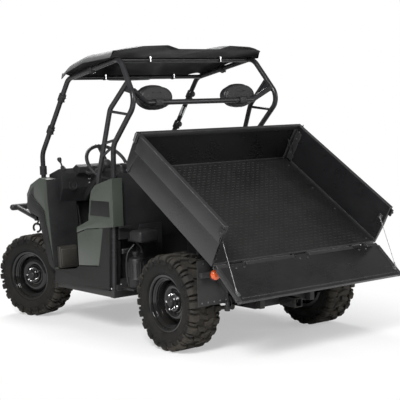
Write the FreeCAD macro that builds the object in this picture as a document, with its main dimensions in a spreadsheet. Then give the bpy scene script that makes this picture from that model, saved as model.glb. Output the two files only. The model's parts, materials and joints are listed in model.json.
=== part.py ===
import FreeCAD, Part
import math
import os
import re

import Sketcher

Vector = FreeCAD.Vector
doc = FreeCAD.newDocument("SideBySide")

# Frame: X forward, Y to the vehicle's left, Z up, origin on the ground at the middle of the plan.
# Each row is a size's name, its value in millimetres or degrees, and what it measures.
SIZES = [
    ("rear_axle_x", -877.5, "rear axle from the origin"),
    ("wheelbase", 1945, "front axle ahead of the rear axle, wheels straight"),
    ("tyre_radius", 330, "outer radius over the lugs"),
    ("lug_count", 22, "lugs in each row of a tyre"),
    ("lug_height", 18, "lugs over the carcass"),
    ("rear_tyre_width", 254, "rear tyre over its sidewalls"),
    ("front_tyre_width", 214, "front tyre over its sidewalls"),
    ("tyre_wall", 13, "thickness of the carcass"),
    ("tread_wall", 22, "thickness of the tread band"),
    ("rim_seat_radius", 178, "bead seat of the rim"),
    ("rim_lip", 19, "rim's flanges over the bead seat"),
    ("rim_wall", 5, "thickness of the rim's steel"),
    ("rim_well_depth", 22, "depth of the rim's drop centre"),
    ("nave_dish", 22, "wheel disc outboard of the rim's middle plane"),
    ("hub_radius", 62, "hub flange and wheel disc's bolting face"),
    ("hub_cap_radius", 34, "hub's raised middle"),
    ("stub_radius", 16, "wheel bearing stub"),
    ("brake_disc_radius", 96, "brake disc"),
    ("bearing_gap", 0.05, "radial running clearance of shafts and pins"),
    ("seat_gap", 0.3, "clearance where one piece rests on another"),
    ("run_gap", 6, "clearance of moving pieces"),
    ("kingpin_half", 555, "kingpin from the centre line"),
    ("kingpin_offset", 90, "wheels' middle planes outboard of their pins"),
    ("rear_pin_inset", 10, "rear hub pins inboard of the kingpins"),
    ("kingpin_radius", 10, "kingpin studs"),
    ("steer_rest", 17.9, "front wheels' steering angle at rest, to the left"),
    ("steer_arm", 100, "tie rod joint behind the kingpin"),
    ("tie_rod_rise", 42, "tie rod bar above the axle"),
    ("tie_rod_radius", 9, "tie rod bar"),
    ("knuckle_half_height", 92, "ball joints above and below the axle"),
    ("arm_tube_radius", 14, "suspension arm tube"),
    ("arm_spread", 135, "suspension arm's inner pivots fore and aft of the axle"),
    ("arm_inner_half", 285, "suspension arm's inner pivots from the centre line"),
    ("rail_half", 230, "main rail's middle from the centre line"),
    ("rail_width", 50, "main rail across"),
    ("rail_low", 268, "underside of the main rails"),
    ("rail_high", 328, "top of the main rails"),
    ("shaft_room", 22, "room in the rails round the half shafts"),
    ("rail_rear_x", -1240, "rear end of the main rails"),
    ("rail_front_x", 1330, "front end of the main rails"),
    ("cage_radius", 19.5, "cage tube"),
    ("cage_bend", 110, "bend radius of the cage tubes"),
    ("rung_radius", 10, "rungs between the hoop and its forward leg"),
    ("cage_half", 660, "cage tubes at the cab's sides"),
    ("hoop_foot_x", -135, "foot of the rear hoop"),
    ("hoop_knee_x", -195, "lower bend of the rear hoop"),
    ("hoop_knee_z", 1389, "lower bend of the rear hoop"),
    ("hoop_back_x", -515, "rearmost bend of the rear hoop"),
    ("hoop_back_z", 1693, "rearmost bend of the rear hoop"),
    ("hoop_top_x", -269, "top bend of the rear hoop"),
    ("hoop_top_z", 2013, "top bend of the rear hoop"),
    ("cage_top_half", 624, "roof rails from the centre line"),
    ("cage_front_x", 446, "bend between roof rail and front pillar"),
    ("cage_front_z", 1892, "bend between roof rail and front pillar"),
    ("pillar_low_x", 899, "lower bend of the front pillar"),
    ("pillar_low_z", 1314, "lower bend of the front pillar"),
    ("leg_top_x", -397, "forward leg's joint on the hoop"),
    ("leg_top_z", 1840, "forward leg's joint on the hoop"),
    ("leg_bend_x", -178, "bend of the forward leg"),
    ("leg_bend_z", 1650, "bend of the forward leg"),
    ("leg_foot_x", 15, "forward leg where it meets the side panel"),
    ("leg_foot_z", 1159, "forward leg where it meets the side panel"),
    ("bar_x", -397, "headrest bar"),
    ("bar_z", 1688, "headrest bar"),
    ("bar_half", 500, "straight part of the headrest bar"),
    ("bar_rise", 87, "headrest bar's ends over its straight part"),
    ("headrest_width", 321, "headrest across"),
    ("headrest_height", 197, "headrest upright"),
    ("headrest_rise", 36, "headrest's middle above its bar"),
    ("headrest_thick", 70, "headrest front to back"),
    ("headrest_half", 393, "headrest's middle from the centre line"),
    ("roof_wall", 6, "thickness of the roof shell"),
    ("roof_half", 700, "roof's half width"),
    ("roof_rear_x", -400, "rear edge of the roof"),
    ("roof_front_x", 545, "front edge of the roof"),
    ("bed_hinge_x", -1083, "bed's hinge"),
    ("bed_hinge_z", 779, "bed's hinge"),
    ("bed_hinge_back", 350, "bed's rear edge behind its hinge"),
    ("bed_hinge_drop", 50, "bed's underside above its hinge, bed lowered"),
    ("bed_tilt", 32.5, "bed's angle at rest, front raised"),
    ("bed_length", 1105, "bed outside"),
    ("bed_half", 762, "bed's half width outside"),
    ("bed_height", 311, "side boards over the bed's underside"),
    ("bed_floor_wall", 12, "bed floor with its mat"),
    ("board_thick", 26, "side board and headboard"),
    ("board_crease", 9, "depth of the side board's lengthwise crease"),
    ("top_rail", 30, "rail along the top of the boards"),
    ("gate_open", 99, "tailgate's angle at rest from closed"),
    ("gate_side_gap", 18, "tailgate inboard of the bed's sides"),
    ("gate_height", 305, "tailgate from its hinge to its edge"),
    ("gate_thick", 22, "tailgate"),
    ("gate_pin_back", 22, "tailgate's hinge behind the bed's rear edge"),
    ("gate_pin_radius", 6, "tailgate hinge pin"),
    ("gate_barrel_radius", 12, "tailgate hinge barrel"),
    ("hinge_pin_radius", 10, "bed hinge pin"),
    ("hinge_half", 290, "bed hinge lugs from the centre line"),
    ("cable_radius", 2, "tailgate cable"),
    ("strut_half", 230, "tipping strut from the centre line"),
    ("strut_reach", 420, "strut's upper pin ahead of the bed's hinge, bed lowered"),
    ("strut_foot_x", -560, "strut's lower pin"),
    ("strut_foot_z", 440, "strut's lower pin"),
    ("strut_radius", 24, "strut body"),
    ("strut_rod_radius", 11, "strut rod"),
    ("strut_body_length", 312, "strut body from its lower pin"),
    ("panel_stand", 40, "side panels' outer face outboard of the cage tubes' middle"),
    ("panel_wall", 10, "thickness of the side panels"),
    ("sill_half", 20, "half width of the sill tubes"),
    ("rocker_seat_z", 323, "underside of the rocker panels' seats"),
    ("panel_recess", 4, "depth of the band in the upper side panel"),
    ("skin_wall", 6, "thickness of hood, fenders, floor and dashboard"),
    ("seat_cushion_top", 880, "top of the seat cushions"),
    ("seat_box_top", 770, "top of the seat box"),
    ("seat_back_top", 1270, "top of the seat backs"),
    ("seat_half", 325, "middle of each seat from the centre line"),
    ("seat_width", 560, "each seat across"),
    ("floor_z", 395, "underside of the cab floor"),
    ("steering_x", 372, "steering wheel's middle"),
    ("steering_y", 350, "steering wheel's middle"),
    ("steering_z", 1235, "steering wheel's middle"),
    ("steering_rake", 40, "steering column's angle from level"),
    ("steering_radius", 172, "middle of the steering wheel's grip"),
    ("grip_radius", 14, "steering wheel's grip"),
    ("column_radius", 11, "steering shaft"),
    ("bumper_reach", 544.5, "bumper bar ahead of the front axle"),
    ("bumper_z", 840, "bumper bar"),
    ("bumper_half", 525, "bumper bar's half width"),
    ("bumper_radius", 27, "bumper bar"),
    ("bumper_arm_radius", 21, "tubes that carry the bumper bar"),
    ("bumper_post_x", 1270, "posts that carry the bumper"),
    ("bumper_post_top", 762, "top of the bumper's posts"),
    ("receiver_opening", 51, "square opening of the hitch receiver"),
    ("receiver_wall", 6, "wall of the hitch receiver"),
    ("receiver_pin_radius", 8, "hitch receiver's cross pin hole"),
]

sheet = doc.addObject("Spreadsheet::Sheet", "Sizes")
for row, (alias, number, meaning) in enumerate(SIZES, start=1):
    sheet.set("A%d" % row, meaning)
    sheet.set("B%d" % row, str(number))
    sheet.setAlias("B%d" % row, alias)
doc.recompute()
ALIASES = [alias for alias, number, meaning in SIZES]


def bound(text):
    """The expression that reads the sheet for every size named in the text."""
    def prefix(match):
        word = match.group(0)
        return "Sizes." + word if word in ALIASES else word
    return re.sub(r"[A-Za-z_][A-Za-z_0-9]*", prefix, str(text))


def mm(text):
    """The number that an expression of the sheet's sizes gives."""
    result = sheet.evalExpression(bound(text))
    return float(getattr(result, "Value", result))


def place(item, x="0", y="0", z="0"):
    """Bind an object's position to expressions of the sheet."""
    for axis, text in (("x", x), ("y", y), ("z", z)):
        item.setExpression(".Placement.Base." + axis, bound(text))
    return item


def block(name, length, width, height, x, y, z):
    """A box whose sides and low corner are expressions."""
    item = doc.addObject("Part::Box", name)
    item.setExpression("Length", bound(length))
    item.setExpression("Width", bound(width))
    item.setExpression("Height", bound(height))
    return place(item, x, y, z)


def sketch_outline(body, plane_role, corners, name="Outline"):
    """A closed sketch whose corners are held at expressions of the sheet."""
    plane = [item for item in body.Origin.OriginFeatures if item.Role == plane_role][0]
    sketch = body.newObject("Sketcher::SketchObject", body.Name + name)
    sketch.AttachmentSupport = [(plane, "")]
    sketch.MapMode = "FlatFace"
    points = [(mm(across), mm(up)) for across, up in corners]
    count = len(points)
    for index in range(count):
        start, end = points[index], points[(index + 1) % count]
        line = Part.LineSegment(Vector(start[0], start[1], 0), Vector(end[0], end[1], 0))
        sketch.addGeometry(line, False)
    for index in range(count):
        sketch.addConstraint(Sketcher.Constraint("Coincident", index, 2, (index + 1) % count, 1))
    for index, (across, up) in enumerate(corners):
        for kind, text, number in (("DistanceX", across, points[index][0]),
                                   ("DistanceY", up, points[index][1])):
            rule = sketch.addConstraint(Sketcher.Constraint(kind, -1, 1, index, 1, number))
            sketch.setExpression("Constraints[%d]" % rule, bound(text))
    return sketch


def plate(name, corners, thick, middle="0", plane_role="XZ_Plane"):
    """A body padded both ways from its sketch, its middle plane at the given place."""
    body = doc.addObject("PartDesign::Body", name)
    pad = body.newObject("PartDesign::Pad", name + "Pad")
    pad.Profile = sketch_outline(body, plane_role, corners)
    pad.Midplane = True
    pad.setExpression("Length", bound(thick))
    body.Tip = pad
    axis = {"XZ_Plane": "y", "YZ_Plane": "x", "XY_Plane": "z"}[plane_role]
    body.setExpression(".Placement.Base." + axis, bound(middle))
    return body


def both_sides(name, corners, thick, middle):
    """The same plate on the left and on the right of the centre line."""
    left = plate(name + "Left", corners, thick, middle)
    right = plate(name + "Right", corners, thick, "-(%s)" % middle)
    return [left, right]


def turned(name, corners):
    """A body revolved about its own upright axis; corners are radius and height."""
    body = doc.addObject("PartDesign::Body", name)
    sketch = sketch_outline(body, "XZ_Plane", corners)
    turn = body.newObject("PartDesign::Revolution", name + "Turn")
    turn.Profile = sketch
    turn.ReferenceAxis = (sketch, ["V_Axis"])
    turn.Angle = 360
    body.Tip = turn
    return body


def joined(name, items):
    """One solid made of several objects."""
    fuse = doc.addObject("Part::MultiFuse", name)
    fuse.Shapes = items
    return fuse


def grouped(name, items):
    """Several solids that do not touch, kept as one sub-part."""
    compound = doc.addObject("Part::Compound", name)
    compound.Links = items
    return compound


def less(name, base, tool):
    """The base with the tool's space taken out."""
    cut = doc.addObject("Part::Cut", name)
    cut.Base = base
    cut.Tool = tool
    return cut


def shaped(name, shape):
    """A sub-part whose shape is worked out from the sheet's sizes."""
    item = doc.addObject("Part::Feature", name)
    item.Shape = shape
    return item


# Plain solids that the worked-out shapes are made of.


def slab(x, y, z):
    """A box between pairs of coordinates."""
    size = (x[1] - x[0], y[1] - y[0], z[1] - z[0])
    return Part.makeBox(size[0], size[1], size[2], Vector(x[0], y[0], z[0]))


def rod(start, end, radius):
    """A round bar from one point to another."""
    start, end = Vector(*start), Vector(*end)
    return Part.makeCylinder(radius, (end - start).Length, start, end - start)


def bent_tube(points, radius, bend):
    """A round bar along straight runs with a tangent arc at each inner point."""
    points = [Vector(*point) for point in points]
    edges = []
    start = points[0]
    for before, corner, after in zip(points, points[1:], points[2:]):
        into, out = (corner - before).normalize(), (after - corner).normalize()
        half_turn = into.getAngle(out) / 2
        room = 0.45 * min((corner - before).Length, (after - corner).Length)
        back = min(bend * math.tan(half_turn), room)
        arc_radius = back / math.tan(half_turn)
        first, last = corner - into * back, corner + out * back
        inward = (out - into).normalize()
        middle = corner + inward * (arc_radius / math.cos(half_turn) - arc_radius)
        edges.append(Part.LineSegment(start, first).toShape())
        edges.append(Part.Arc(first, middle, last).toShape())
        start = last
    edges.append(Part.LineSegment(start, points[-1]).toShape())
    direction = points[1] - points[0]
    ring = Part.Wire([Part.makeCircle(radius, points[0], direction)])
    return Part.Wire(edges).makePipeShell([ring], True, False)


def prism(corners, low, high, axis="y"):
    """A straight prism on a polygon: corners are (x, z) for y, (x, y) for z, (y, z) for x."""
    def point(pair, depth):
        if axis == "y":
            return Vector(pair[0], depth, pair[1])
        if axis == "z":
            return Vector(pair[0], pair[1], depth)
        return Vector(depth, pair[0], pair[1])
    loop = [point(pair, low) for pair in corners]
    face = Part.Face(Part.makePolygon(loop + loop[:1]))
    return face.extrude(point((0, 0), high) - point((0, 0), low))


def mirrored(shape):
    """The same shape on the other side of the centre line."""
    return shape.mirror(Vector(0, 0, 0), Vector(0, 1, 0))


def fused(shapes):
    """One shape made of several that touch."""
    return shapes[0].multiFuse(shapes[1:]).removeSplitter()


def several(shapes):
    """Several solids in one shape."""
    return Part.makeCompound(shapes)


def softened(shape, radius, wanted):
    """The shape with the edges rounded that a test on their ends and middle picks."""
    edges = [edge for edge in shape.Edges if wanted(edge.BoundBox)]
    return shape.makeFillet(radius, edges)


front_axle_x = mm("rear_axle_x + wheelbase")
tyre_radius = mm("tyre_radius")
seat_gap = mm("seat_gap")
steer_turn = FreeCAD.Rotation(Vector(0, 0, 1), mm("steer_rest"))
nodes = {}


# Wheels.


def facet_ring(sections, count):
    """A ring of flat facets about the upright axis, drawn from sections: radius along X, height along Z."""
    step = 360 / count
    slope = math.tan(math.radians(step / 2))
    reach = tyre_radius * 1.2
    wedge = prism([(0, 0), (reach, -reach * slope), (reach, reach * slope)], -reach, reach, "z")
    facets = []
    for index in range(count):
        outlines = sections[index % len(sections)]
        facet = prism(outlines[0], -reach * slope, reach * slope)
        for outline in outlines[1:]:
            facet = facet.fuse(prism(outline, -reach * slope, reach * slope))
        facets.append(facet.common(wedge).rotated(Vector(), Vector(0, 0, 1), (index + 0.5) * step))
    return fused(facets)


def tyre_shape(width):
    """A tyre about its own upright axis: a carcass with two staggered rows of lugs over its shoulders."""
    half, count = width / 2, int(mm("2 * lug_count"))
    bead, lip = mm("rim_seat_radius + seat_gap"), mm("rim_seat_radius + rim_lip + seat_gap")
    crown = tyre_radius * math.cos(math.pi / count)
    tread = crown - mm("lug_height")
    inner = tread - mm("tread_wall")
    seat_z, shoulder_z = half - 26 - seat_gap, half - 32
    outside = [(bead - 20, seat_z), (lip, seat_z), (tread - 56, half), (tread, shoulder_z)]
    lug = [(tread - 6, -20), (crown, -12), (crown, half - 28), (tread - 38, half + 5), (tread - 56, half),
           (tread - 40, shoulder_z)]
    wall_z = half - 27 - mm("tyre_wall")
    hollow = [(0, half), (bead, half), (bead, wall_z), (inner, wall_z - 6)]

    def whole(outline):
        """An outline's upper half with its mirror image below."""
        return outline + [(radius, -up) for radius, up in reversed(outline)]

    def flipped(outline):
        return [(radius, -up) for radius, up in outline]

    carcass = whole(outside)
    ring = facet_ring([[carcass, lug], [carcass, flipped(lug)]], count)
    return ring.cut(facet_ring([[whole(hollow)]], count // 2)).removeSplitter()


def rim(name, width, hub_inset):
    """A steel wheel with flanges and drop centre, its disc, hub, brake disc and stub."""
    half = "(%s / 2 - 26)" % width
    barrel = [
        ("rim_seat_radius + rim_lip", half),
        ("rim_seat_radius + rim_lip", "%s + rim_wall" % half),
        ("rim_seat_radius - rim_wall", "%s + rim_wall" % half),
        ("rim_seat_radius - rim_wall", "%s - 22" % half),
        ("rim_seat_radius - rim_well_depth - rim_wall", "%s - 34" % half),
        ("rim_seat_radius - rim_well_depth - rim_wall", "-(%s - 34)" % half),
        ("rim_seat_radius - rim_wall", "-(%s - 22)" % half),
        ("rim_seat_radius - rim_wall", "-(%s + rim_wall)" % half),
        ("rim_seat_radius + rim_lip", "-(%s + rim_wall)" % half),
        ("rim_seat_radius + rim_lip", "-(%s)" % half),
        ("rim_seat_radius", "-(%s)" % half),
        ("rim_seat_radius", "-(%s - 20)" % half),
        ("rim_seat_radius - rim_well_depth", "-(%s - 32)" % half),
        ("rim_seat_radius - rim_well_depth", "%s - 32" % half),
        ("rim_seat_radius", "%s - 20" % half),
        ("rim_seat_radius", half),
    ]
    disc = [
        ("0", "nave_dish + 26"),
        ("hub_cap_radius - 4", "nave_dish + 26"),
        ("hub_cap_radius", "nave_dish + 20"),
        ("hub_cap_radius", "nave_dish"),
        ("hub_radius + 16", "nave_dish"),
        ("hub_radius + 34", "nave_dish + 14"),
        ("rim_seat_radius - rim_well_depth - 26", "nave_dish + 10"),
        ("rim_seat_radius - rim_well_depth - rim_wall + 1", "nave_dish - 16"),
        ("rim_seat_radius - rim_well_depth - rim_wall + 1", "nave_dish - 24"),
        ("rim_seat_radius - rim_well_depth - 30", "nave_dish + 2"),
        ("hub_radius + 36", "nave_dish + 6"),
        ("hub_radius + 20", "nave_dish - 8"),
        ("hub_radius", "nave_dish - 8"),
        ("hub_radius", "nave_dish - 20"),
        ("hub_radius - 20", "nave_dish - 20"),
        ("hub_radius - 20", "nave_dish - 34"),
        ("brake_disc_radius", "nave_dish - 34"),
        ("brake_disc_radius", "nave_dish - 39"),
        ("stub_radius + 10", "nave_dish - 39"),
        ("stub_radius + 10", "-%s" % hub_inset),
        ("stub_radius", "-%s" % hub_inset),
        ("stub_radius", "-(%s + 36)" % hub_inset),
        ("0", "-(%s + 36)" % hub_inset),
    ]
    return joined(name, [turned(name + "Barrel", barrel), turned(name + "Disc", disc)])


rear_pin_half = mm("kingpin_half - rear_pin_inset")


def wheel_placement(x, side, steered):
    """Where a wheel stands: its own upright axis laid along the axle, outboard side out."""
    lay_down = FreeCAD.Rotation(Vector(1, 0, 0), -90 * side)
    if steered:
        kingpin = Vector(x, side * mm("kingpin_half"), tyre_radius)
        reach = steer_turn.multVec(Vector(0, side * mm("kingpin_offset"), 0))
        return FreeCAD.Placement(kingpin + reach, steer_turn.multiply(lay_down))
    wheel_half = rear_pin_half + mm("kingpin_offset")
    return FreeCAD.Placement(Vector(x, wheel_half * side, tyre_radius), lay_down)


tyre_forms = {end: tyre_shape(mm(end + "_tyre_width")) for end in ("front", "rear")}
SIDES = (("left", 1), ("right", -1))
for side_name, side in SIDES:
    for end in ("front", "rear"):
        steered = end == "front"
        wide = end + "_tyre_width"
        spot = wheel_placement(front_axle_x if steered else mm("rear_axle_x"), side, steered)
        rubber = shaped("tyre_%s_%s" % (end, side_name), tyre_forms[end])
        steel = rim("rim_%s_%s" % (end, side_name), wide, "(kingpin_offset - 30)")
        rubber.Placement = spot
        steel.Placement = spot
        nodes[rubber.Name] = rubber
        nodes[steel.Name] = steel


# Knuckles, uprights and suspension.


def knuckle(bearing_reach, with_arm):
    """An upright at the kingpin with its bearing boss, studs and, in front, a steering arm."""
    tall = mm("knuckle_half_height")
    boss = rod((0, bearing_reach - 26, 0), (0, bearing_reach, 0), mm("stub_radius + 22"))
    post = slab((-24, 24), (-20, bearing_reach - 10), (-tall + 20, tall - 20))
    studs = rod((0, 0, -tall - 22), (0, 0, tall + 22), mm("kingpin_radius"))
    parts = [post, boss, studs]
    if with_arm:
        arm = mm("steer_arm")
        arm_low = mm("tie_rod_rise + tie_rod_radius + run_gap")
        parts.append(slab((-arm, -20), (-14, 14), (arm_low, arm_low + 14)))
        parts.append(rod((-arm, 0, arm_low), (-arm, 0, arm_low + 14), 18))
    solid = fused(parts)
    bore = rod((0, -60, 0), (0, bearing_reach + 20, 0), mm("stub_radius + bearing_gap"))
    return solid.cut(bore).removeSplitter()


hub_reach = mm("30 - bearing_gap")
for side_name, side in SIDES:
    shape = knuckle(hub_reach, True)
    if side < 0:
        shape = mirrored(shape)
    item = shaped("knuckle_" + side_name, shape)
    item.Placement = FreeCAD.Placement(
        Vector(front_axle_x, side * mm("kingpin_half"), tyre_radius), steer_turn)
    nodes[item.Name] = item

rear_shapes = []
for side_name, side in SIDES:
    shape = knuckle(hub_reach, False)
    shape.translate(Vector(mm("rear_axle_x"), rear_pin_half, tyre_radius))
    rear_shapes.append(shape if side > 0 else mirrored(shape))
nodes["rear_uprights"] = shaped("rear_uprights", several(rear_shapes))


def wishbone(axle_x, pin_y, level, droop, brace_y=None):
    """An A-shaped arm from two inner pivots to the eye round a kingpin stud."""
    inner_y, spread = mm("arm_inner_half"), mm("arm_spread")
    radius = mm("arm_tube_radius")
    eye_z = tyre_radius + level
    inner_z = eye_z + droop
    legs = [rod((axle_x + way * spread, inner_y, inner_z), (axle_x, pin_y - 8, eye_z), radius)
            for way in (-1, 1)]
    pivots = [rod((axle_x + way * spread - 24, inner_y, inner_z),
                  (axle_x + way * spread + 24, inner_y, inner_z), radius + 6) for way in (-1, 1)]
    eye = rod((axle_x, pin_y, eye_z - 11), (axle_x, pin_y, eye_z + 11), mm("kingpin_radius + 12"))
    braces = []
    if brace_y:
        share = (pin_y - 8 - brace_y) / (pin_y - 8 - inner_y)
        brace_z = eye_z + share * droop
        brace_reach = share * spread
        braces.append(rod((axle_x - brace_reach, brace_y, brace_z), (axle_x + brace_reach, brace_y, brace_z),
                          radius))
    solid = fused(legs + pivots + [eye] + braces)
    reach = mm("kingpin_radius + bearing_gap")
    bore = rod((axle_x, pin_y, eye_z - 60), (axle_x, pin_y, eye_z + 60), reach)
    return solid.cut(bore)


arm_shapes = []
for axle_x, pin_y in ((front_axle_x, mm("kingpin_half")), (mm("rear_axle_x"), rear_pin_half)):
    for level, brace_y in ((-mm("knuckle_half_height"), 400), (mm("knuckle_half_height"), None)):
        arm = wishbone(axle_x, pin_y, level, 26, brace_y)
        arm_shapes += [arm, mirrored(arm)]
nodes["suspension_arms"] = shaped("suspension_arms", several(arm_shapes))


shock_eye = 17
shock_y, shock_shift = 400, 34
shock_tops = ((front_axle_x, 300, 690), (mm("rear_axle_x"), 300, 640))


def shock(low, high):
    """A coil-over shock: body, rod, and a ribbed sleeve where the spring stands."""
    low, high = Vector(*low), Vector(*high)
    axis = high - low
    length = axis.Length
    spring_low = 98
    profile = [(0, 0), (14, 0), (14, spring_low - 14), (38, spring_low - 10), (38, spring_low)]
    turns = 7
    pitch = (length - spring_low - 86) / turns
    for turn in range(turns):
        base = spring_low + turn * pitch
        profile += [(38, base + pitch * 0.45), (27, base + pitch * 0.5), (27, base + pitch * 0.95)]
        profile += [(38, base + pitch)]
    profile += [(38, length - 76), (18, length - 70), (14, length - 30), (14, length), (0, length)]
    loop = [Vector(across, 0, up) for across, up in profile]
    solid = Part.Face(Part.makePolygon(loop + loop[:1])).revolve(Vector(), Vector(0, 0, 1), 360)
    solid.Placement = FreeCAD.Placement(low, FreeCAD.Rotation(Vector(0, 0, 1), axis))
    eyes = [rod((spot.x - 16, spot.y, spot.z), (spot.x + 16, spot.y, spot.z), shock_eye)
            for spot in (low, high)]
    return fused([solid] + eyes)


shock_shapes = []
for axle_x, top_y, top_z in shock_tops:
    low_z = tyre_radius - mm("knuckle_half_height") + 15 + mm("arm_tube_radius") + shock_eye + seat_gap
    unit = shock((axle_x + shock_shift, shock_y, low_z), (axle_x + shock_shift, top_y, top_z))
    shock_shapes += [unit, mirrored(unit)]
nodes["shocks"] = shaped("shocks", several(shock_shapes))


def axle_drive(axle_x, pin_y, length):
    """A final drive housing with two half shafts and their boots."""
    case = slab((axle_x - length / 2, axle_x + length / 2), (-95, 95),
                (tyre_radius - 75, tyre_radius + 75))
    cheeks = rod((axle_x, -130, tyre_radius), (axle_x, 130, tyre_radius), 58)
    parts = [case, cheeks]
    rail_face = mm("rail_half - rail_width / 2 - seat_gap")
    for side in (-1, 1):
        parts.append(slab((axle_x - 40, axle_x + 40), sorted((side * 90, side * rail_face)), (276, 300)))
        parts.append(rod((axle_x, side * 120, tyre_radius), (axle_x, side * (pin_y - 40), tyre_radius), 13))
        for near, far in ((130, 200), (pin_y - 40, pin_y - 118)):
            parts.append(Part.makeCone(34, 17, abs(far - near), Vector(axle_x, side * near, tyre_radius),
                                       Vector(0, side * (1 if far > near else -1), 0)))
    return fused(parts)


nodes["front_drive"] = shaped("front_drive", axle_drive(front_axle_x, mm("kingpin_half"), 140))
nodes["rear_drive"] = shaped("rear_drive", axle_drive(mm("rear_axle_x"), rear_pin_half, 220))


# Frame.

rail_y = mm("rail_half")
rail_side = mm("rail_width / 2")
rail_low, rail_high = mm("rail_low"), mm("rail_high")
rail_in, rail_out = rail_y - rail_side, rail_y + rail_side
rear_end, front_end = mm("rail_rear_x"), mm("rail_front_x")

rails = [
    block("rail_left", "rail_front_x - rail_rear_x", "rail_width", "rail_high - rail_low",
          "rail_rear_x", "rail_half - rail_width / 2", "rail_low"),
    block("rail_right", "rail_front_x - rail_rear_x", "rail_width", "rail_high - rail_low",
          "rail_rear_x", "-(rail_half + rail_width / 2)", "rail_low"),
]
shaft_rooms = []
for end, axle in (("front", "rear_axle_x + wheelbase"), ("rear", "rear_axle_x")):
    room = doc.addObject("Part::Cylinder", "shaft_room_" + end)
    room.setExpression("Radius", bound("shaft_room"))
    room.setExpression("Height", bound("2 * (rail_half + rail_width)"))
    room.Placement.Rotation = FreeCAD.Rotation(Vector(1, 0, 0), -90)
    shaft_rooms.append(place(room, axle, "-(rail_half + rail_width)", "tyre_radius"))
all_rooms = joined("shaft_rooms", shaft_rooms)
nodes["frame_rails"] = grouped("frame_rails", [less("notched_" + item.Name, item, all_rooms) for item in rails])

cross_shapes = []
for cross_x in (rear_end, mm("hoop_foot_x") - 25, 360, 640, front_end - 50):
    beam = slab((cross_x, cross_x + 50), (-rail_in, rail_in), (rail_low + 5, rail_high - 5))
    if -200 < cross_x < 1000:
        beam = beam.cut(rod((cross_x - 5, 0, tyre_radius - 6), (cross_x + 55, 0, tyre_radius - 6), 34))
    if cross_x == 360:
        stand_z = (rail_high - 10, mm("floor_z - seat_gap"))
        stands = [slab((cross_x, cross_x + 50), (foot_y - 20, foot_y + 20), stand_z) for foot_y in (-150, 150)]
        beam = beam.multiFuse(stands)
    cross_shapes.append(beam)
sill = mm("cage_half")
for cross_x in (mm("hoop_foot_x") - 25, 590):
    arm = slab((cross_x, cross_x + 50), (rail_out, sill + mm("sill_half")), (rail_low + 5, rail_high - 5))
    if cross_x > 0:
        arm = arm.fuse(slab((cross_x, cross_x + 40), (540, 600), (rail_high - 10, mm("floor_z - seat_gap"))))
    cross_shapes += [arm, mirrored(arm)]
nodes["frame_crossmembers"] = shaped("frame_crossmembers", several(cross_shapes))

# Towers on the rails carry the shocks, the upper arms and, at the rear, the bed's hinge.
hinge_x, hinge_z = mm("bed_hinge_x"), mm("bed_hinge_z")
hinge_y = mm("hinge_half")
pin_radius = mm("hinge_pin_radius")
tower_shapes = []
lug_out = mm("arm_inner_half - arm_tube_radius - 6 - seat_gap")
pivot_rise = mm("knuckle_half_height")
for axle_x, top_y, top_z in shock_tops:
    roof_z = top_z + shock_eye + seat_gap
    parts = [slab((axle_x - 126, axle_x + 126), (rail_in + 5, top_y + 18), (roof_z, roof_z + 14))]
    for way in (-1, 1):
        post_x = axle_x + way * mm("arm_spread")
        parts.append(slab((post_x - 16, post_x + 16), (rail_in + 5, rail_out - 5), (rail_high, roof_z)))
        upper_z = tyre_radius + pivot_rise + 26
        parts.append(slab((post_x - 16, post_x + 16), (rail_out - 5, lug_out), (upper_z - 14, upper_z + 14)))
        lower_z = tyre_radius - pivot_rise + 26
        tower_shapes.append(slab((post_x - 16, post_x + 16), (rail_out, lug_out), (lower_z + 4, lower_z + 18)))
    tower_shapes.append(fused(parts))
tower_left = tower_shapes
hinge_post = slab((hinge_x - 22, hinge_x + 22), (rail_in + 5, rail_out - 5), (rail_high, hinge_z - 40))
lug_x = (hinge_x - 22, hinge_x + 22)
hinge_lug = fused([slab(lug_x, (rail_in + 5, hinge_y - 12), (hinge_z - 60, hinge_z - 30)),
                   slab(lug_x, (hinge_y - 24, hinge_y - 12), (hinge_z - 60, hinge_z)),
                   rod((hinge_x, hinge_y - 24, hinge_z), (hinge_x, hinge_y - 12, hinge_z), 22),
                   rod((hinge_x, hinge_y - 24, hinge_z), (hinge_x, hinge_y + 14, hinge_z), pin_radius)])
hinge_post = fused([hinge_post, hinge_lug])
tower_left.append(hinge_post)
nodes["frame_towers"] = shaped("frame_towers", several(tower_left + [mirrored(item) for item in tower_left]))

# Tubes along the cab's sills stand on the outriggers and carry the front pillars' feet.
sill_tubes = []
sill_top = rail_high - 5
for way in (-1, 1):
    sill_y = (way * sill - mm("sill_half"), way * sill + mm("sill_half"))
    sill_tubes.append(slab((mm("hoop_foot_x") + 27, 590), sill_y, (rail_low + 8, sill_top)))
nodes["sill_tubes"] = shaped("sill_tubes", several(sill_tubes))


# Cage.

cage_r, cage_bend = mm("cage_radius"), mm("cage_bend")
top_y = mm("cage_top_half")
hoop_top = (mm("hoop_top_x"), top_y, mm("hoop_top_z"))
front_top = (mm("cage_front_x"), top_y, mm("cage_front_z"))
coupler_t = 0.55
coupler = tuple(hoop_top[i] + (front_top[i] - hoop_top[i]) * coupler_t for i in range(3))


def between(start, end, share):
    """The point part of the way from one point to another."""
    return tuple(start[i] + (end[i] - start[i]) * share for i in range(3))


def sleeve(start, end, share, length, extra):
    """A short larger tube round a cage tube, part of the way along it."""
    middle = Vector(*between(start, end, share))
    along = (Vector(*end) - Vector(*start)).normalize()
    low, high = middle - along * length / 2, middle + along * length / 2
    return rod(tuple(low), tuple(high), cage_r + extra)


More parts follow.
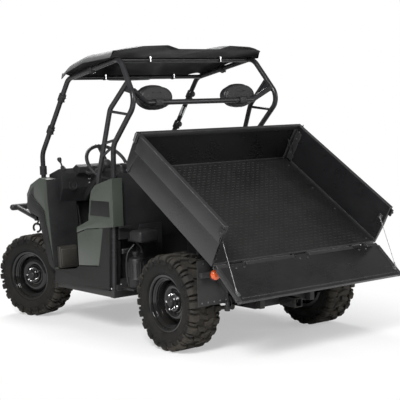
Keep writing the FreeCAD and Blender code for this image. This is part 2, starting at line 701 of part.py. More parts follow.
hoop_foot = (mm("hoop_foot_x"), sill, sill_top - 10)
hoop_knee = (mm("hoop_knee_x"), sill, mm("hoop_knee_z"))
hoop_back = (mm("hoop_back_x"), sill + 9, mm("hoop_back_z"))
leg_top = (mm("leg_top_x"), 650, mm("leg_top_z"))
leg_bend = (mm("leg_bend_x"), sill + 4, mm("leg_bend_z"))
leg_foot = (mm("leg_foot_x"), sill, mm("leg_foot_z"))
leg_end = (mm("leg_foot_x") + 130, sill, sill_top - 10)
hoop = bent_tube([hoop_foot, hoop_knee, hoop_back, hoop_top, coupler], cage_r, cage_bend)
leg = bent_tube([leg_top, leg_bend, leg_foot, leg_end], cage_r - 1, cage_bend)
rungs = []
for leg_share, hoop_share in ((0.03, 0.28), (0.50, 0.86), (0.70, 1.02)):
    rungs.append(rod(between(leg_bend, leg_foot, leg_share), between(hoop_back, hoop_knee, hoop_share),
                     mm("rung_radius")))
joint = sleeve(hoop_top, coupler, 0.96, 44, 7)
gusset = prism([(leg_top[0] - 12, leg_top[2] - 10), (leg_top[0] + 75, leg_top[2] - 62),
                (leg_top[0] - 62, leg_top[2] - 92)], 642, 650)
below_sill = slab((-300, 300), (560, 720), (200, sill_top + seat_gap))
rear_cage = fused([hoop, leg, joint, gusset] + rungs).cut(below_sill)
nodes["cage_rear"] = shaped("cage_rear", several([rear_cage, mirrored(rear_cage)]))

pillar_low = (mm("pillar_low_x"), top_y - 4, mm("pillar_low_z"))
pillar_foot = (mm("pillar_low_x") - 6, top_y - 4, 1000)
tower_top = shock_tops[0][2] + shock_eye + seat_gap + 14
pillar_end = (965, 296, tower_top + seat_gap + 3)
pillar = bent_tube([between(coupler, front_top, 0.01), front_top, pillar_low, pillar_foot, pillar_end],
                   cage_r, cage_bend)
below_tower = slab((900, 1040), (230, 360), (tower_top - 60, tower_top + seat_gap))
pillar = pillar.cut(below_tower)
foot_plate = slab((925, 1005), (256, 316), (tower_top + seat_gap, tower_top + seat_gap + 8))
clamps = [sleeve(front_top, pillar_low, 0.24, 60, 8), sleeve(front_top, pillar_low, 0.67, 60, 8),
          sleeve(pillar_low, pillar_foot, 0.42, 70, 9)]
front_cage = fused([pillar, foot_plate] + clamps).cut(rear_cage)
front_cage = max(front_cage.Solids, key=lambda solid: solid.Volume)
nodes["cage_front"] = shaped("cage_front", several([front_cage, mirrored(front_cage)]))

bar_x, bar_z, bar_half = mm("bar_x"), mm("bar_z"), mm("bar_half")
inner_top = top_y - cage_r + 3


def cross_tube(spot, radius):
    """A tube straight across between the two sides of the cage."""
    return rod((spot[0], -spot[1], spot[2]), (spot[0], spot[1], spot[2]), radius)


def on_hoop(up):
    """The rear hoop's middle at a height over its knee."""
    low, high = (hoop_knee, hoop_back) if up < hoop_back[2] else (hoop_back, hoop_top)
    return between(low, high, (up - low[2]) / (high[2] - low[2]))


rear_cross = cross_tube((hoop_top[0] + 60, inner_top, hoop_top[2] - 12), cage_r - 3)
front_cross = cross_tube((front_top[0] - 50, inner_top, front_top[2] + 6), cage_r - 3)
end_x, end_y, end_z = on_hoop(bar_z + mm("bar_rise"))
end_y = end_y - cage_r + 2
headrest_bar = bent_tube([(end_x, -end_y, end_z), (bar_x, -bar_half, bar_z), (bar_x, bar_half, bar_z),
                          (end_x, end_y, end_z)], cage_r, 60)
cage_sides = [rear_cage, mirrored(rear_cage), front_cage, mirrored(front_cage)]
cross_tubes = [max(tube.cut(several(cage_sides)).Solids, key=lambda solid: solid.Volume)
               for tube in (rear_cross, front_cross, headrest_bar)]
nodes["cage_cross"] = shaped("cage_cross", several(cross_tubes))


# Roof: a moulded shell with two raised crowns, its front drooping over the windscreen line.


def roof_section(x, edge, crown, valley, drop, half):
    """One cross section of the roof as a closed outline at the given station."""
    left = [(half, edge - 52 - drop), (half - 12, edge - drop), (half - 200, crown - 10 - drop),
            (300, crown - drop), (200, valley - drop), (60, valley - drop)]
    right = [(-across, up) for across, up in reversed(left)]
    points = [Vector(x, across, up) for across, up in left + right]
    return Part.makePolygon(points + points[:1])


def roof_body(drop, inset):
    """The roof's outer form, lowered and drawn in for its inner face."""
    half = mm("roof_half") - inset
    rear_x, front_x = mm("roof_rear_x"), mm("roof_front_x")
    stations = [
        (rear_x - 2, 2056, 2098, 2071, half),
        (rear_x + 120, 2066, 2103, 2078, half),
        (110, 2046, 2082, 2056, half),
        (355, 1988, 2044, 2016, half - 8),
        (470, 1936, 1992, 1962, half - 20),
        (front_x, 1890, 1902, 1880, half - 60),
    ]
    sections = [roof_section(x, edge, crown, valley, drop, width) for x, edge, crown, valley, width in stations]
    return Part.makeLoft(sections, True, True)


def roof_plan(inset, low, high):
    """The roof's outline seen from above."""
    rear_x, front_x, half = mm("roof_rear_x") + inset, mm("roof_front_x") - inset, mm("roof_half") + 20
    corners = [(rear_x, 0), (rear_x, 440), (rear_x + 26, 560), (rear_x + 90, 670), (rear_x + 150, half),
               (front_x - 90, half), (front_x - 30, 600), (front_x - 6, 420), (front_x, 0)]
    other = [(x, -across) for x, across in reversed(corners[1:-1])]
    return prism(corners + other, low, high, "z")


roof_wall = mm("roof_wall")
roof_low, roof_high = mm("cage_front_z - 190"), mm("hoop_top_z + 290")
roof_outer = roof_body(0, 0).common(roof_plan(0, roof_low, roof_high))
roof_inner = roof_body(roof_wall, roof_wall).common(roof_plan(roof_wall, roof_low, roof_high))
roof_inner = roof_inner.fuse(roof_inner.translated(Vector(0, 0, -30)))
roof_shell = roof_outer.cut(roof_inner)
pads = []
for spot in ((hoop_top[0] + 60, hoop_top[2] - 12), (front_top[0] - 50, front_top[2] + 6)):
    for pad_y in (-330, 330):
        pad_z = (spot[1] + cage_r - 3 + seat_gap, roof_high)
        top = slab((spot[0] - 22, spot[0] + 22), (pad_y - 22, pad_y + 22), pad_z)
        pads.append(top.common(roof_outer))
roof = fused([roof_shell] + pads)
nodes["roof"] = shaped("roof", roof)


# Headrests on their bar, seats and their box.


def headrest(side):
    """An oval pad with a plate that seats on the bar."""
    wide, tall, thick = mm("headrest_width"), mm("headrest_height"), mm("headrest_thick")
    front_x = bar_x + cage_r + seat_gap
    middle = Vector(front_x, side * mm("headrest_half"), bar_z + mm("headrest_rise"))
    oval = Part.Ellipse(middle, wide / 2, tall / 2).toShape()
    pad = Part.Face(Part.Wire([oval]))
    pad.rotate(middle, Vector(1, 0, 0), 90)
    pad.rotate(middle, Vector(0, 0, 1), 90)
    return pad.extrude(Vector(thick, 0, 0))


nodes["headrests"] = shaped("headrests", several([headrest(1), headrest(-1)]))

box_top, cushion_top = mm("seat_box_top"), mm("seat_cushion_top")
seat_y, seat_w = mm("seat_half"), mm("seat_width")
floor_z, skin = mm("floor_z"), mm("skin_wall")
cushion = prism([(-95, box_top + seat_gap), (325, box_top + seat_gap), (335, cushion_top - 20),
                 (315, cushion_top), (-95, cushion_top - 25)], seat_y - seat_w / 2, seat_y + seat_w / 2)
cushion = softened(cushion, 16, lambda box: box.ZMin > box_top + 10)
nodes["seat_cushions"] = shaped("seat_cushions", several([cushion, mirrored(cushion)]))
back_top = mm("seat_back_top")
back = prism([(-108, cushion_top - 22), (15, cushion_top - 17.5), (-60, back_top), (-161, back_top)],
             seat_y - seat_w / 2, seat_y + seat_w / 2)
back = softened(back, 22, lambda box: box.ZMin > cushion_top + 10 and box.XMax > -155)
nodes["seat_backs"] = shaped("seat_backs", several([back, mirrored(back)]))
floor_top = floor_z + skin
seat_panel = [(-70, box_top), (-70, 700), (-178, 700), (-178, 1180), (-150, 1180), (-97, box_top)]
seat_box_outer = fused([slab((-70, 290), (-640, 640), (floor_top, box_top)), prism(seat_panel, -630, 630)])
seat_box_inner = slab((-70 + skin, 290 - skin), (-640 + skin, 640 - skin), (floor_top - 5, box_top - skin))
nodes["seat_box"] = shaped("seat_box", seat_box_outer.cut(seat_box_inner))


# Floor, toe board and firewall as one bent sheet, and the dashboard.

inner_side = mm("cage_half + panel_stand - panel_wall - seat_gap")
floor_line = [(-75, floor_z), (645, floor_z), (672, 480), (762, 620), (850, 690), (850, 1040)]
floor_back = [(850 - skin, 1040), (850 - skin, 694), (757, 624), (666, 484), (641, floor_top), (-75, floor_top)]
floor_sheet = prism(floor_line + floor_back, -inner_side, inner_side)
floor_plan = [(-80, inner_side), (758, inner_side), (897, inner_side - 24)]
floor_plan += [(across, -side_edge) for across, side_edge in reversed(floor_plan)]
floor_sheet = floor_sheet.common(prism(floor_plan, 300, 1200, "z"))
tunnel = slab((295, 700), (-70, 70), (floor_top - 1, floor_top + 70))
leg_room = rod(leg_foot, leg_end, cage_r + 4)
floor_tub = fused([floor_sheet, tunnel]).cut(leg_room).cut(mirrored(leg_room))
nodes["floor_tub"] = shaped("floor_tub", floor_tub)

dash_half = top_y - 26
dash_front = 844 - seat_gap
dash_outer = prism([(dash_front, 1150), (690, 1196), (655, 1160), (648, 1040), (700, 930), (dash_front, 900)],
                   -dash_half, dash_half)
dash_inner = prism([(844, 1140), (694, 1186), (663, 1156), (656, 1044), (706, 938), (844, 910)],
                   -dash_half + skin, dash_half - skin)
pod = prism([(760, 1160), (640, 1225), (600, 1205), (600, 1160), (660, 1130)], 230, 470)
dash = fused([dash_outer.cut(dash_inner), pod])
nodes["dashboard"] = shaped("dashboard", dash)


# Body panels.

body_half = "(cage_half + panel_stand)"
side_y = body_half + " - panel_wall / 2"
upper_corners = [("-208", "1153"), ("15", "1096"), ("70", "1052"), ("92", "990"), ("119", "830"),
                 ("290", "770"), ("295", "728"), ("150", "768"), ("-208", "800")]
upper = both_sides("side_upper", upper_corners, "panel_wall", side_y)
returns = []
for way, low in (("left", body_half + " - 90"), ("right", "-" + body_half)):
    returns.append(block("side_return_" + way, "6", "90", "350", "-214", low, "803"))
band = both_sides("side_band", [("-170", "985"), ("80", "985"), ("103", "868"), ("-170", "868")],
                  "2 * panel_recess", body_half)
# Blocks inside the panels rest on the cage and the sill tubes.
hoop_face = "(cage_half + cage_radius + seat_gap)"
leg_face = "(cage_half + cage_radius - 1 + seat_gap)"
sill_face = "(cage_half + sill_half + seat_gap)"


def rest(name, way, face, length, height, x, z):
    """A block that reaches from a side panel to a face of the frame."""
    depth = "%s - panel_wall + 1 - %s" % (body_half, face)
    low = face if way == "left" else "-(%s - panel_wall + 1)" % body_half
    return block("%s_%s" % (name, way), length, depth, height, x, low, z)


upper_rests = {}
for way in ("left", "right"):
    upper_rests[way] = [rest("upper_rest_leg", way, leg_face, "40", "30", "20", "985"),
                        rest("upper_rest_hoop", way, hoop_face, "40", "30", "-193", "985")]
upper_raw = joined("side_upper_raw", upper[:1] + returns[:1] + upper_rests["left"])
upper_raw_right = joined("side_upper_raw_right", upper[1:] + returns[1:] + upper_rests["right"])
nodes["side_upper"] = grouped("side_upper", [
    less("side_upper_left", upper_raw, band[0]),
    less("side_upper_right", upper_raw_right, band[1])])

lower_corners = [("290", "722"), ("150", "763"), ("-68", "783"), ("5", "500"), ("285", "478")]
lower_plates = both_sides("side_lower_plate", lower_corners, "panel_wall", side_y)
lower_rests = [rest("lower_rest", way, leg_face, "40", "30", "82", "590") for way in ("left", "right")]
nodes["side_lower"] = grouped("side_lower", [
    joined("side_lower_left", [lower_plates[0], lower_rests[0]]),
    joined("side_lower_right", [lower_plates[1], lower_rests[1]])])

rocker_corners = [("-160", "793"), ("-74", "785"), ("-1", "495"), ("288", "472"), ("325", "450"),
                  ("612", "416"), ("636", "418"), ("654", "313"), ("384", "323"), ("-129", "343")]
rocker_plates = both_sides("rocker_plate", rocker_corners, "panel_wall", side_y)
rocker_rests = [rest("rocker_rest", way, sill_face, "80", "10", "560", "rocker_seat_z - 11")
                for way in ("left", "right")]
nodes["rockers"] = grouped("rockers", [
    joined("rocker_left", [rocker_plates[0], rocker_rests[0]]),
    joined("rocker_right", [rocker_plates[1], rocker_rests[1]])])

# Fenders: the side outline and the plan outline cut each other, and the inside is hollow.
fender_side = [(712, 1118), (707, 956), (686, 760), (656, 485), (644, 424), (640, 408), (714, 448), (779, 581),
               (830, 691), (900, 812), (1125, 832), (1290, 850), (1300, 905), (1292, 975), (1090, 1062),
               (850, 1128)]
side_out = mm(body_half)
# The body's plan from the cab forward: each station and how far it lies inboard of the side panels.
PLAN_TAPER = ((600, 0), (760, 0), (900, 24), (1100, 68), (1300, 144))


def tapered_plan(outset, ahead, inner, lead=0):
    """The tapered plan of the front body, moved out and forward, closed along an inner line."""
    edge = [(x + (ahead if x > 600 else lead), side_out + outset - inboard) for x, inboard in PLAN_TAPER]
    return [(edge[0][0], inner)] + edge + [(edge[-1][0], inner)]


fender_plan = tapered_plan(0, 0, 440)


def grown(corners, by_x, by_y):
    """The corners moved along both axes."""
    return [(across + by_x, up + by_y) for across, up in corners]


fender_form = prism(fender_side, 440, 720).common(prism(fender_plan, 300, 1300, "z"))
hollow_plan = tapered_plan(-10, -3, 420)
hollow_plan[-2:] = [(1285, side_out - 150), (1285, 420)]
hollow_side = [(721, 1100), (716, 956), (695, 760), (664, 485), (652, 424), (600, 300), (1400, 300),
               (1285, 900), (1280, 968), (1088, 1052), (850, 1116)]
fender_hollow = prism(hollow_side, 400, 720).common(prism(hollow_plan, 200, 1300, "z"))
pillar_hole = rod((pillar_foot[0], pillar_foot[1], 900), (pillar_foot[0], pillar_foot[1], 1250), cage_r + 14)
flare_outer = [(640, 408), (722, 680), (782, 868), (1080, 985), (1290, 900)]
arch_edge = [(1290, 850), (1125, 832), (900, 812), (830, 691), (779, 581), (714, 448)]
flare_space = prism(flare_outer + [(1400, 900), (1400, 300), (645, 300)], 400, 760)
dash_room = slab((590, 850), (400, dash_half + seat_gap), (380, 1200))
fender = fender_form.cut(fender_hollow).cut(pillar_hole).cut(flare_space).cut(dash_room)
fender = max(fender.Solids, key=lambda solid: solid.Volume)
nodes["fenders"] = shaped("fenders", several([fender, mirrored(fender)]))
flare_plan = tapered_plan(7, 3, 420)
flare_plan[-2:] = [(1296, side_out - 138), (1296, 420)]
flare = prism(flare_outer + arch_edge, 430, 730).common(prism(flare_plan, 300, 1100, "z"))
flare = flare.cut(prism(hollow_plan, 200, 1200, "z")).translated(Vector(seat_gap, 0, -seat_gap))
flare = max(flare.Solids, key=lambda solid: solid.Volume)
nodes["arch_flares"] = shaped("arch_flares", several([flare, mirrored(flare)]))

hood_top = [(852, 1160), (1100, 1108), (1290, 1040), (1400, 985)]
hood_skirt = [(1396, 979), (1290, 976), (1088, 1042), (852, 1108)]
hood_half = 440 - seat_gap
hood_space = [(840, 1156), (1098, 1101), (1286, 1033), (1420, 966), (1420, 900), (840, 900)]
hood = prism(hood_top + hood_skirt, -hood_half, hood_half)
hood = hood.cut(prism(hood_space, skin - hood_half, hood_half - skin))
hood = max(hood.Solids, key=lambda solid: solid.Volume)
rise_line = [(900, 1150), (1100, 1108), (1290, 1040), (1372, 999)]
rise = prism(grown(rise_line, 0, 10)[1:3] + rise_line[::-1], -230, 230)
rise_plan = prism([(895, -210), (1375, -150), (1375, 150), (895, 210)], 900, 1300, "z")
hood = hood.fuse(rise.common(rise_plan)).removeSplitter()
nodes["hood"] = shaped("hood", hood)

nose_line = [(1330, 1010.4), (1396, 977.4), (1408, 971), (1440, 940), (1450, 860), (1440, 740), (1390, 640)]
nose_back = [(1382, 644), (1431, 743), (1441, 860), (1431, 936), (1400, 966), (1328, 1004)]
nose_half = 335 - seat_gap
nose = prism(nose_line + nose_back, -nose_half, nose_half)
slots = []
for level in range(5):
    low = 690 + level * 40
    slots.append(slab((1300, 1500), (-250, 250), (low, low + 22)))
nose = nose.cut(Part.makeCompound(slots))
nose = max(nose.Solids, key=lambda solid: solid.Volume)
nodes["nose"] = shaped("nose", nose)

lamp_plan = [(1300 + seat_gap, 556), (1400, 500), (1440, 440), (1448, 335), (1380, 335), (1300 + seat_gap, 445)]
lamp_side = [(1290, 856), (1450, 850), (1445, 930), (1400, 968), (1290, 975)]
lamp = prism(lamp_plan, 800, 1000, "z").common(prism(lamp_side, 300, 600))
lamp = softened(lamp, 14, lambda box: box.XMin > 1399 and box.YMin > 340)
nodes["headlamps"] = shaped("headlamps", several([lamp, mirrored(lamp)]))


# Bumper bar on two arms.

bumper_x = front_axle_x + mm("bumper_reach")
bumper_z, bumper_half = mm("bumper_z"), mm("bumper_half")
bumper_r, bumper_arm_r = mm("bumper_radius"), mm("bumper_arm_radius")
post_x, post_top = mm("bumper_post_x"), mm("bumper_post_top")
bumper_parts = [rod((bumper_x, -bumper_half, bumper_z), (bumper_x, bumper_half, bumper_z), bumper_r)]
for way in (-1, 1):
    arm_y = way * (bumper_half - 40)
    bumper_parts.append(rod((bumper_x, arm_y, bumper_z), (post_x, arm_y, post_top), bumper_arm_r))
cross_half = bumper_half - 20
bumper_parts.append(rod((post_x, -cross_half, post_top), (post_x, cross_half, post_top), bumper_arm_r))
for way in (-1, 1):
    bumper_parts.append(slab((post_x - 20, post_x + 20), (way * rail_y - 18, way * rail_y + 18),
                             (rail_high, post_top)))
for way in (-1, 1):
    bumper_parts.append(Part.makeSphere(bumper_r, Vector(bumper_x, way * bumper_half, bumper_z)))
    loop_y = way * (rail_y + 22)
    loop = bent_tube([(post_x, loop_y, 470), (post_x + 110, loop_y, 470), (post_x + 110, loop_y, 400),
                      (post_x, loop_y, 400)], 8, 26)
    bumper_parts.append(loop)
nodes["front_bumper"] = shaped("front_bumper", fused(bumper_parts))


# Drive line, engine, exhaust.

mount_y = rail_in - seat_gap
engine = fused([slab((-640, -200), (-170, 170), (rail_low + 10, 560)),
                slab((-520, -300), (-110, 110), (560, 700)),
                slab((-600, -550), (-mount_y, mount_y), (rail_low + 20, rail_high - 10)),
                slab((-300, -250), (-mount_y, mount_y), (rail_low + 20, rail_high - 10))])
nodes["engine_block"] = shaped("engine_block", engine)
prop = rod((-199, 0, 320), (front_axle_x - 71, 0, tyre_radius), 16)
nodes["propshaft"] = shaped("propshaft", prop)
muffler = fused([rod((-1180, -160, 480), (-1180, 120, 480), 62), rod((-1180, 60, 480), (-640, 60, 480), 20)])
nodes["exhaust"] = shaped("exhaust", muffler)


# Splash panels, rear corner plates and lamps.

splash = slab((-214, -208), (270, inner_side), (345, 803 - seat_gap))
nodes["splash_panels"] = shaped("splash_panels", several([splash, mirrored(splash)]))

corner_plate = slab((-1256, -1252), (500, 752), (350, 652))
bar = fused([slab((-1290, -1256), (-740, 740), (540, 575))]
            + [slab((-1290, -1240), (way * rail_y - 20, way * rail_y + 20), (rail_low + 5, 560))
               for way in (-1, 1)])
nodes["rear_bar"] = shaped("rear_bar", bar)
nodes["rear_plates"] = shaped("rear_plates", several([corner_plate, mirrored(corner_plate)]))

tail = fused([rod((-1290 - seat_gap, 640, 557), (-1318, 640, 557), 36),
              Part.makeCone(36, 24, 10, Vector(-1318, 640, 557), Vector(-1, 0, 0))])
nodes["tail_lamps"] = shaped("tail_lamps", several([tail, mirrored(tail)]))

opening, wall = mm("receiver_opening"), mm("receiver_wall")
half_out = opening / 2 + wall
receiver = slab((-1400, -1240), (-half_out, half_out), (rail_low - 2, rail_low - 2 + 2 * half_out))
receiver = receiver.cut(slab((-1410, -1250), (-opening / 2, opening / 2),
                             (rail_low - 2 + wall, rail_low - 2 + wall + opening)))
pin_z = rail_low - 2 + half_out
receiver = receiver.cut(rod((-1360, -80, pin_z), (-1360, 80, pin_z), mm("receiver_pin_radius")))
nodes["hitch_receiver"] = shaped("hitch_receiver", receiver)


# Steering.

rake = math.radians(mm("steering_rake"))
column = Vector(-math.cos(rake), 0, math.sin(rake))
hub = Vector(mm("steering_x"), mm("steering_y"), mm("steering_z"))
grip = Part.makeTorus(mm("steering_radius"), mm("grip_radius"))
spokes = [slab((0, mm("steering_radius")), (-16, 16), (-6, 6)).rotated(Vector(), Vector(0, 0, 1), angle)
          for angle in (0, 120, 240)]
centre = Part.makeCone(44, 34, 34, Vector(0, 0, -14), Vector(0, 0, 1))
shaft = Part.makeCylinder(mm("column_radius"), 330, Vector(0, 0, -330))
wheel = fused([grip, centre, shaft] + spokes)
wheel_turn = FreeCAD.Rotation(Vector(0, 0, 1), column)
steering = shaped("steering_wheel", wheel)
steering.Placement = FreeCAD.Placement(hub, wheel_turn)
nodes["steering_wheel"] = steering

sleeve_tube = Part.makeCylinder(26, 320, Vector(0, 0, -440)).cut(
    Part.makeCylinder(mm("column_radius + bearing_gap"), 220, Vector(0, 0, -335)))
sleeve_tube.Placement = FreeCAD.Placement(hub, wheel_turn)
sleeve_tube = sleeve_tube.cut(dash_outer.fuse(pod).translated(Vector(-seat_gap, 0, 0)))
sleeve_tube = max(sleeve_tube.Solids, key=lambda solid: solid.Volume)
nodes["steering_column"] = shaped("steering_column", sleeve_tube)

steer_rest = math.radians(mm("steer_rest"))
steer_arm = mm("steer_arm")
rack_x = front_axle_x - steer_arm * math.cos(steer_rest)
rack_shift = -steer_arm * math.sin(steer_rest)
rack_z = tyre_radius + mm("tie_rod_rise")
rack_r = mm("tie_rod_radius")
rack_ends = [way * mm("kingpin_half") + rack_shift for way in (-1, 1)]
rack = rod((rack_x, rack_ends[0], rack_z), (rack_x, rack_ends[1], rack_z), rack_r)
ends = [rod((rack_x, eye_y, rack_z - rack_r - 1), (rack_x, eye_y, rack_z + rack_r + 1), 17)
        for eye_y in rack_ends]
nodes["tie_rod"] = shaped("tie_rod", fused([rack] + ends))
rack_tube = rod((rack_x, -200, rack_z), (rack_x, 200, rack_z), 18)
rack_feet = []
for way in (-1, 1):
    rack_feet.append(slab((rack_x - 16, rack_x + 16), sorted((way * 120, way * rail_out)),
                          (rail_high + seat_gap, rail_high + 12)))
    rack_feet.append(slab((rack_x - 16, rack_x + 16), sorted((way * 130, way * 180)),
                          (rail_high + 4, rack_z - 12)))
rack_bore = rod((rack_x, -240, rack_z), (rack_x, 240, rack_z), rack_r + mm("bearing_gap"))
nodes["steering_rack"] = shaped("steering_rack", fused([rack_tube] + rack_feet).cut(rack_bore))

# Pedals hang from the dashboard; a lever stands at its left end.
pedal_shapes = []
for pedal_y in (270, 400):
    arm = rod((768, pedal_y, 935), (700, pedal_y, 600), 9)
    pad = prism([(682, 560), (690, 556), (716, 622), (708, 626)], pedal_y - 32, pedal_y + 32)
    pedal_shapes.append(fused([arm, pad]).cut(dash_outer.translated(Vector(0, 0, -seat_gap))))
pedal_shapes = [max(item.Solids, key=lambda solid: solid.Volume) for item in pedal_shapes]
nodes["pedals"] = shaped("pedals", several(pedal_shapes))
lever = fused([rod((700, 550, 1185), (735, 560, 1262), 8), Part.makeSphere(17, Vector(737, 561, 1270))])
lever = max(lever.cut(dash_outer.translated(Vector(0, 0, seat_gap))).Solids, key=lambda solid: solid.Volume)
nodes["dash_lever"] = shaped("dash_lever", lever)


# Cargo bed, drawn lowered and turned up about its hinge.

bed_spot = FreeCAD.Placement(Vector(hinge_x, 0, hinge_z), FreeCAD.Rotation(Vector(0, 1, 0), -mm("bed_tilt")))
bed_back = -mm("bed_hinge_back")
bed_front = bed_back + mm("bed_length")
bed_low = mm("bed_hinge_drop")
bed_high = bed_low + mm("bed_height")
bed_half, board = mm("bed_half"), mm("board_thick")
floor_wall, crease, rail = mm("bed_floor_wall"), mm("board_crease"), mm("top_rail")


def on_bed(name, shape):
    """A sub-part drawn from the hinge with the bed lowered, set at the resting tilt."""
    item = shaped(name, shape)
    item.Placement = bed_spot
    nodes[name] = item
    return item


inner_half = bed_half - board
floor_plate = slab((bed_back, bed_front - board), (-inner_half, inner_half), (bed_low, bed_low + floor_wall))
ribs = [slab((bed_back + 60 + step * 190, bed_back + 100 + step * 190), (-bed_half + 60, bed_half - 60),
             (bed_low - 26, bed_low)) for step in range(6)]
beams = [slab((bed_back + 60, bed_front - 60), (way * (hinge_y + 40) - 18, way * (hinge_y + 40) + 18),
              (bed_low - 40, bed_low)) for way in (-1, 1)]
ears = []
for way in (-1, 1):
    ear = slab((-24, 24), (hinge_y - 4, hinge_y + 6), (-2, bed_low))
    ear = ear.fuse(rod((0, hinge_y - 4, 0), (0, hinge_y + 6, 0), 24))
    ear = ear.cut(rod((0, hinge_y - 20, 0), (0, hinge_y + 20, 0), mm("hinge_pin_radius + bearing_gap")))
    ears.append(ear if way > 0 else mirrored(ear))
gate_pin_x = bed_back - mm("gate_pin_back")
lugs = []
gate_pin = mm("gate_pin_radius")
for lug_y in (-560, 0, 560):
    for way in (-1, 1):
        low_y = lug_y + way * 62 - 5
        lugs.append(slab((gate_pin_x, bed_back + 4), (low_y, low_y + 10), (bed_low - 10, bed_low + 10)))
    lugs.append(rod((gate_pin_x, lug_y - 67, bed_low), (gate_pin_x, lug_y + 67, bed_low), gate_pin))
strut_y, strut_reach = mm("strut_half"), mm("strut_reach")
strut_ears = []
for way in (-1, 1):
    ear_y = strut_y + way * 18
    strut_ears.append(slab((strut_reach - 22, strut_reach + 22), (ear_y - 3, ear_y + 3),
                           (bed_low - 78, bed_low)))
on_bed("bed_floor", fused([floor_plate] + ribs + beams + ears + lugs + strut_ears))


def board_section(side):
    """A side board's cross section: outward crease, hollow rail on top."""
    outer = bed_half
    points = [(outer - board, bed_low), (outer - crease, bed_low), (outer, bed_low + 150),
              (outer - crease, bed_high - rail), (outer, bed_high - rail), (outer, bed_high),
              (outer - board, bed_high)]
    return [(side * across, up) for across, up in points]


board_form = prism(board_section(1), bed_back, bed_front, "x")
flange_wide, corner_cut, corner_depth = 44, 46, 60
flange = prism([(bed_front - flange_wide, bed_low), (bed_front, bed_low), (bed_front, bed_high - rail),
                (bed_front - flange_wide - 70, bed_high - rail)], bed_half - board, bed_half)
corner = prism([(bed_front - corner_cut, bed_low - 1), (bed_front + 1, bed_low - 1),
                (bed_front + 1, bed_low + corner_depth)], bed_half - board - 1, bed_half + 1)
handle_x, handle_z = bed_front - flange_wide, bed_high - rail
handle = prism([(handle_x - 14, handle_z - 14), (handle_x + 4, handle_z - 100), (handle_x - 56, handle_z - 14)],
               bed_half - 7, bed_half + 1)
board_form = board_form.fuse(flange).cut(corner).cut(handle).removeSplitter()
on_bed("bed_sides", several([board_form, mirrored(board_form)]))
headboard = fused([slab((bed_front - board + 6, bed_front), (-inner_half, inner_half), (bed_low, bed_high)),
                   slab((bed_front - board, bed_front), (-inner_half, inner_half), (bed_high - rail, bed_high))])
on_bed("bed_headboard", headboard)


# Tailgate, drawn closed and folded down about its own hinge.

gate_half, gate_t = mm("bed_half - gate_side_gap"), mm("gate_thick")
gate_face = mm("gate_pin_back") - 5
barrels = []
for lug_y in (-560, 0, 560):
    tube = rod((0, lug_y - 56, 0), (0, lug_y + 56, 0), mm("gate_barrel_radius"))
    web = slab((-8, gate_face - 3), (lug_y - 56, lug_y + 56), (2, 24))
    tube = tube.fuse(web).cut(rod((0, lug_y - 70, 0), (0, lug_y + 70, 0), mm("gate_pin_radius + bearing_gap")))
    barrels.append(tube)
gate_top = mm("gate_height")
panel = slab((gate_face - gate_t, gate_face), (-gate_half, gate_half), (20, gate_top))
gate_back = gate_face - gate_t
dish = slab((gate_back - 1, gate_back + 14), (-gate_half + 60, gate_half - 60), (60, gate_top - 40))
gate = fused([panel.cut(dish)] + barrels)
gate_item = shaped("tailgate", gate)
gate_angle = FreeCAD.Rotation(Vector(0, 1, 0), -mm("gate_open"))
gate_turn = FreeCAD.Placement(Vector(gate_pin_x, 0, bed_low), gate_angle)
gate_item.Placement = bed_spot.multiply(gate_turn)
nodes["tailgate"] = gate_item

cable_r = mm("cable_radius")
cable_top = bed_spot.multVec(Vector(bed_back + 40, bed_half - board - cable_r - seat_gap, bed_low + 205))
cable_low = gate_item.Placement.multVec(Vector(gate_face + cable_r + seat_gap, gate_half - 14, gate_top - 60))
cable = rod(tuple(cable_top), tuple(cable_low), cable_r)
nodes["gate_cables"] = shaped("gate_cables", several([cable, mirrored(cable)]))


# Tipping strut: a body on the frame and a rod that slides along its line.

strut_low = Vector(mm("strut_foot_x"), strut_y, mm("strut_foot_z"))
strut_high = bed_spot.multVec(Vector(mm("strut_reach"), strut_y, bed_low - 60))
strut_line = (strut_high - strut_low).normalize()
body_end = strut_low + strut_line * mm("strut_body_length")
strut_tube = rod(tuple(strut_low + strut_line * 44), tuple(body_end), mm("strut_radius"))
strut_neck = rod(tuple(strut_low + strut_line * 12), tuple(strut_low + strut_line * 50), 11.5)
strut_bore = rod(tuple(strut_low + strut_line * 52), tuple(body_end + strut_line * 5),
                 mm("strut_rod_radius + bearing_gap"))
strut_eye = rod((strut_low.x, strut_y - 13, strut_low.z), (strut_low.x, strut_y + 13, strut_low.z), 20)
pin_hole = rod((strut_low.x, strut_y - 40, strut_low.z), (strut_low.x, strut_y + 40, strut_low.z), 8 + seat_gap)
strut_body = fused([strut_tube, strut_neck, strut_eye]).cut(strut_bore).cut(pin_hole)
nodes["strut_body"] = shaped("strut_body", strut_body)
cheek = 13 + seat_gap
foot_x = (strut_low.x - 22, strut_low.x + 22)
clevis = [slab(foot_x, (strut_y - 22, strut_y + 22), (rail_high, strut_low.z - 26)),
          rod((strut_low.x, strut_y - 22, strut_low.z), (strut_low.x, strut_y + 22, strut_low.z), 8)]
for low, high in ((-22, -cheek), (cheek, 22)):
    clevis.append(slab(foot_x, (strut_y + low, strut_y + high), (strut_low.z - 30, strut_low.z + 20)))
nodes["strut_clevis"] = shaped("strut_clevis", fused(clevis))
rod_eye = rod((strut_high.x, strut_y - 10, strut_high.z), (strut_high.x, strut_y + 10, strut_high.z), 18)
strut_rod = fused([rod(tuple(body_end - strut_line * 20), tuple(strut_high), mm("strut_rod_radius")), rod_eye])
nodes["strut_rod"] = shaped("strut_rod", strut_rod)


# Check every object, then write one file for each sub-part.

